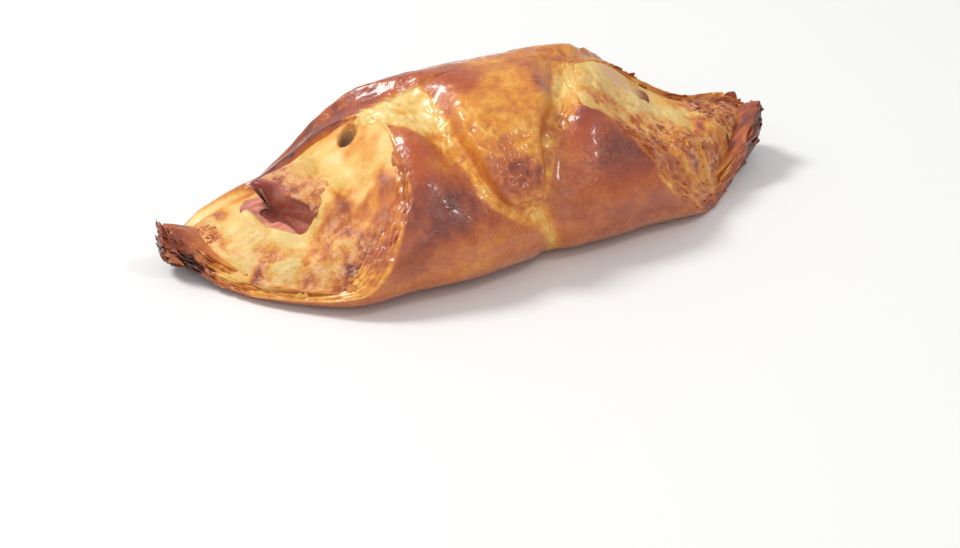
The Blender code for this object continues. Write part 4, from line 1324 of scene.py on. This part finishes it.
def mesh_piece(name, points, faces, attributes, material):
    """A piece from points in millimetres, kept inside the solids' box, with a value of each
    attribute at every point."""
    low, high = (np.array(corner) / MM for corner in CAD_BOX)
    mesh = bpy.data.meshes.new(name)
    mesh.from_pydata((np.clip(points, low, high) * MM).tolist(), [], faces)
    for key, values in attributes.items():
        mesh.attributes.new(key, "FLOAT", "POINT").data.foreach_set("value", values.astype(np.float32))
    mesh.shade_smooth()
    mesh.materials.append(material)
    obj = bpy.data.objects.new(name, mesh)
    bpy.context.scene.collection.objects.link(obj)
    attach(obj, "root")
    return obj


def colour(red, green, blue):
    """A colour given as a picture's 0 to 255 values, as the linear values a shader takes."""
    parts = np.array([red, green, blue]) / 255
    linear = np.where(parts > 0.04045, ((parts + 0.055) / 1.055) ** 2.4, parts / 12.92)
    return (*[float(part) for part in linear], 1.0)


class Nodes:
    """A material's node tree, with short ways to add the nodes that these materials share."""

    def __init__(self, name):
        self.material = bpy.data.materials.new(name)
        self.material.use_nodes = True
        self.tree = self.material.node_tree
        self.shader = self.tree.nodes["Principled BSDF"]

    def add(self, kind, inputs=None, **settings):
        node = self.tree.nodes.new(kind)
        for key, value in settings.items():
            setattr(node, key, value)
        for key, value in (inputs or {}).items():
            self.put(node.inputs[key], value)
        return node

    def put(self, socket, value):
        if isinstance(value, bpy.types.NodeSocket):
            self.tree.links.new(value, socket)
        else:
            socket.default_value = value

    def attribute(self, name):
        return self.add("ShaderNodeAttribute", attribute_name=name).outputs["Fac"]

    def place(self):
        return self.add("ShaderNodeTexCoord").outputs["Object"]

    def noise(self, size, detail=3, roughness=0.55, squash=(1, 1, 1)):
        """Noise with features of about the given size in millimetres."""
        stretch = self.add("ShaderNodeMapping", {"Vector": self.place(), "Scale": squash})
        inputs = {"Vector": stretch.outputs[0], "Scale": 1 / (size * MM), "Detail": detail,
                  "Roughness": roughness}
        return self.add("ShaderNodeTexNoise", inputs).outputs["Fac"]

    def maths(self, operation, first, second=0.0, third=0.0, clamp=False):
        node = self.add("ShaderNodeMath", {0: first, 1: second, 2: third}, operation=operation)
        node.use_clamp = clamp
        return node.outputs[0]

    def centred(self, value, strength):
        """The value about its middle of a half, times a strength."""
        return self.maths("MULTIPLY", self.maths("SUBTRACT", value, 0.5), strength)

    def ramp(self, value, stops):
        node = self.add("ShaderNodeValToRGB", {"Fac": value})
        marks = node.color_ramp.elements
        for k, (position, tone) in enumerate(stops):
            mark = marks[k] if k < 2 else marks.new(position)
            mark.position = position
            mark.color = tone if isinstance(tone, tuple) else (tone, tone, tone, 1)
        return node.outputs["Color"]

    def mix(self, share, first, second, blend="MIX"):
        node = self.add("ShaderNodeMix", data_type="RGBA", blend_type=blend)
        self.put(node.inputs[0], share)
        self.put(node.inputs[6], first)
        self.put(node.inputs[7], second)
        return node.outputs[2]

    def bump(self, height, distance, strength=1.0, below=None):
        inputs = {"Height": height, "Distance": distance * MM, "Strength": strength}
        node = self.add("ShaderNodeBump", inputs)
        if below is not None:
            self.put(node.inputs["Normal"], below)
        return node.outputs[0]

    def finish(self, base, roughness, normal, **sockets):
        self.put(self.shader.inputs["Base Color"], base)
        self.put(self.shader.inputs["Roughness"], roughness)
        self.put(self.shader.inputs["Normal"], normal)
        for key, value in sockets.items():
            self.shader.inputs[key.replace("_", " ")].default_value = value
        return self.material


BAKE_COLOURS = (
    (0.0, colour(240, 212, 140)),
    (0.2, colour(232, 186, 96)),
    (0.34, colour(222, 144, 42)),
    (0.5, colour(192, 106, 44)),
    (0.64, colour(166, 78, 36)),
    (0.78, colour(128, 58, 40)),
    (0.9, colour(86, 38, 28)),
    (1.0, colour(44, 22, 16)),
)


def baked_crust():
    """Egg-washed crust: its tone follows how brown it is, broken up by mottling and fine specks."""
    n = Nodes("baked_crust")
    bake = n.attribute("bake")
    mottled = n.maths("ADD", bake, n.centred(n.noise(3.5, 6, 0.7), 0.42))
    mottled = n.maths("ADD", mottled, n.centred(n.noise(0.9, 3, 0.6), 0.2))
    base = n.ramp(mottled, BAKE_COLOURS)
    blush = n.maths("MULTIPLY", n.attribute("blush"), 0.6)
    base = n.mix(blush, base, colour(174, 66, 26))
    washed = n.maths("MULTIPLY", n.attribute("crust"), n.noise(5, 2))
    roughness = n.maths("SUBTRACT", 0.6, n.maths("MULTIPLY", washed, 0.6))
    blister = n.bump(n.noise(2.0, 3), 0.4, 0.8)
    normal = n.bump(n.noise(0.6, 3, 0.7), 0.16, 0.6, blister)
    return n.finish(base, roughness, normal, Coat_Weight=0.5, Coat_Roughness=0.1)


def melted_cheese():
    """Melted cheese, pale and smooth, that turns orange and brown where it has baked."""
    n = Nodes("melted_cheese")
    crinkle = n.attribute("crinkle")
    speckle = n.maths("MULTIPLY_ADD", crinkle, 0.5, 0.4)
    speckle = n.maths("MULTIPLY", n.centred(n.noise(2.2, 6, 0.72), 1.0), speckle)
    base = n.ramp(n.maths("ADD", n.attribute("bake"), speckle), (
        (0.0, colour(232, 203, 128)),
        (0.18, colour(226, 184, 98)),
        (0.34, colour(222, 148, 54)),
        (0.5, colour(200, 112, 42)),
        (0.68, colour(156, 76, 44)),
        (0.9, colour(96, 48, 40)),
    ))
    # Painted shade: the steam hole's inside drawn dark brown.
    base = n.mix(n.attribute("deep"), base, colour(132, 88, 60))
    base = n.mix(n.attribute("tinge"), base, colour(226, 176, 138))
    # Painted highlights: pinkish-white spots, set by noise where the cheese is crinkled.
    painted_glints = n.ramp(n.noise(1.8, 5, 0.7), ((0.47, 0.0), (0.62, 0.7)))
    base = n.mix(n.maths("MULTIPLY", crinkle, painted_glints, clamp=True), base, colour(240, 186, 142))
    roughness = n.maths("ADD", 0.52, n.centred(n.noise(4, 2), 0.4))
    roughness = n.maths("SUBTRACT", roughness, n.maths("MULTIPLY", crinkle, 0.2))
    fine = n.maths("MULTIPLY", n.noise(1.3, 4, 0.7), n.maths("MULTIPLY_ADD", crinkle, 2.0, 0.6))
    normal = n.bump(fine, 0.35, 0.9)
    return n.finish(base, roughness, normal, Coat_Weight=0.1, Coat_Roughness=0.25,
                    Subsurface_Weight=0.12, Subsurface_Radius=(1.0, 0.6, 0.3), Subsurface_Scale=0.0012)


def ham_pink():
    """Cooked ham: pink with paler fibres, dark red at its rims, with painted shade deep in the mouth.
    """
    n = Nodes("ham_pink")
    fibre = n.noise(1.2, 4, 0.6, (0.3, 1, 1))
    base = n.mix(n.ramp(fibre, ((0.35, 0.0), (0.7, 1.0))), colour(222, 114, 92), colour(244, 180, 158))
    base = n.mix(n.attribute("pale"), base, colour(222, 178, 136))
    base = n.mix(n.attribute("rim"), base, colour(132, 42, 22))
    # Painted shade deep inside the mouth.
    base = n.mix(n.attribute("depth"), base, colour(96, 34, 26))
    normal = n.bump(n.noise(1.0, 3), 0.15, 0.6)
    return n.finish(base, 0.42, normal, Coat_Weight=0.12, Coat_Roughness=0.2,
                    Subsurface_Weight=0.15, Subsurface_Radius=(1.0, 0.3, 0.2), Subsurface_Scale=0.002)


def floor_white():
    n = Nodes("floor_white")
    return n.finish(colour(236, 236, 235), 0.6, n.bump(n.noise(4, 1), 0.02, 0.1))


# The camera: where it stands and looks, in millimetres and degrees, its lens, and how near and far it
# sees, in metres.
CAMERA_PLACE = (-190.4715, -436.4155, 251.056)
CAMERA_AZIMUTH = -23.7317
CAMERA_ELEVATION = 29.3376
CAMERA_LENS = 86.25
CAMERA_CLIP = (0.01, 20)


def add_camera():
    data = bpy.data.cameras.new("camera")
    data.lens = CAMERA_LENS
    data.clip_start, data.clip_end = CAMERA_CLIP
    camera = bpy.data.objects.new("camera", data)
    bpy.context.scene.collection.objects.link(camera)
    a, e = math.radians(CAMERA_AZIMUTH), math.radians(CAMERA_ELEVATION)
    back = Vector((math.sin(a) * math.cos(e), -math.cos(a) * math.cos(e), math.sin(e)))
    camera.location = Vector(CAMERA_PLACE) * MM
    camera.rotation_euler = (-back).to_track_quat("-Z", "Y").to_euler()
    bpy.context.scene.camera = camera


# Soft lights: name, place and aim in metres, size and strength.
LIGHTS = (
    ("key", (-0.45, 0.4, 0.8), (0, 0, 0), 0.32, 6.4),
    ("fill", (-0.4, -0.8, 0.5), (0, 0, 0), 0.9, 1.6),
    ("glint", (0.33, -0.4, 0.78), (0, 0, 0), 0.14, 1.1),
)
WORLD_STRENGTH = 0.56

# The floor's disc, in metres.
FLOOR_RADIUS = 3.0
FLOOR_STEPS = 96


def add_lights():
    for name, place, aim, size, power in LIGHTS:
        data = bpy.data.lights.new(name, "AREA")
        data.shape, data.size, data.energy = "DISK", size, power
        light = bpy.data.objects.new(name, data)
        light.location = place
        light.rotation_euler = (Vector(aim) - Vector(place)).to_track_quat("-Z", "Y").to_euler()
        bpy.context.scene.collection.objects.link(light)
    world = bpy.data.worlds.new("studio")
    world.use_nodes = True
    background = world.node_tree.nodes["Background"]
    background.inputs["Color"].default_value = (1, 1, 1, 1)
    background.inputs["Strength"].default_value = WORLD_STRENGTH
    bpy.context.scene.world = world
    bpy.context.scene.view_settings.view_transform = "Standard"


def add_floor():
    """A pale disc under the pocket."""
    turn = np.linspace(0, 2 * np.pi, FLOOR_STEPS, endpoint=False)
    rim = FLOOR_RADIUS * np.stack([np.cos(turn), np.sin(turn), 0 * turn], -1)
    mesh = bpy.data.meshes.new("floor")
    mesh.from_pydata(rim.tolist(), [], [list(range(len(rim)))])
    mesh.materials.append(floor_white())
    floor = bpy.data.objects.new("floor", mesh)
    bpy.context.scene.collection.objects.link(floor)


add_camera()
add_lights()
add_floor()
crust_finish = baked_crust()
cheese_finish = melted_cheese()
ham_finish = ham_pink()
pastry = surface_piece("pastry_shell", pastry_surface(), crust_finish, True)
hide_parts("pastry")
cheese = surface_piece("cheese_filling", cheese_surface(), cheese_finish)
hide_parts("cheese")
ham = surface_piece("ham_slice", ham_surface(), ham_finish)
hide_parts("ham")
surface_piece("cheese_over_ham", mound_surface(), cheese_finish)
flakes_piece("pastry_flakes", crust_finish)
scabs_piece("baked_scabs", crust_finish)
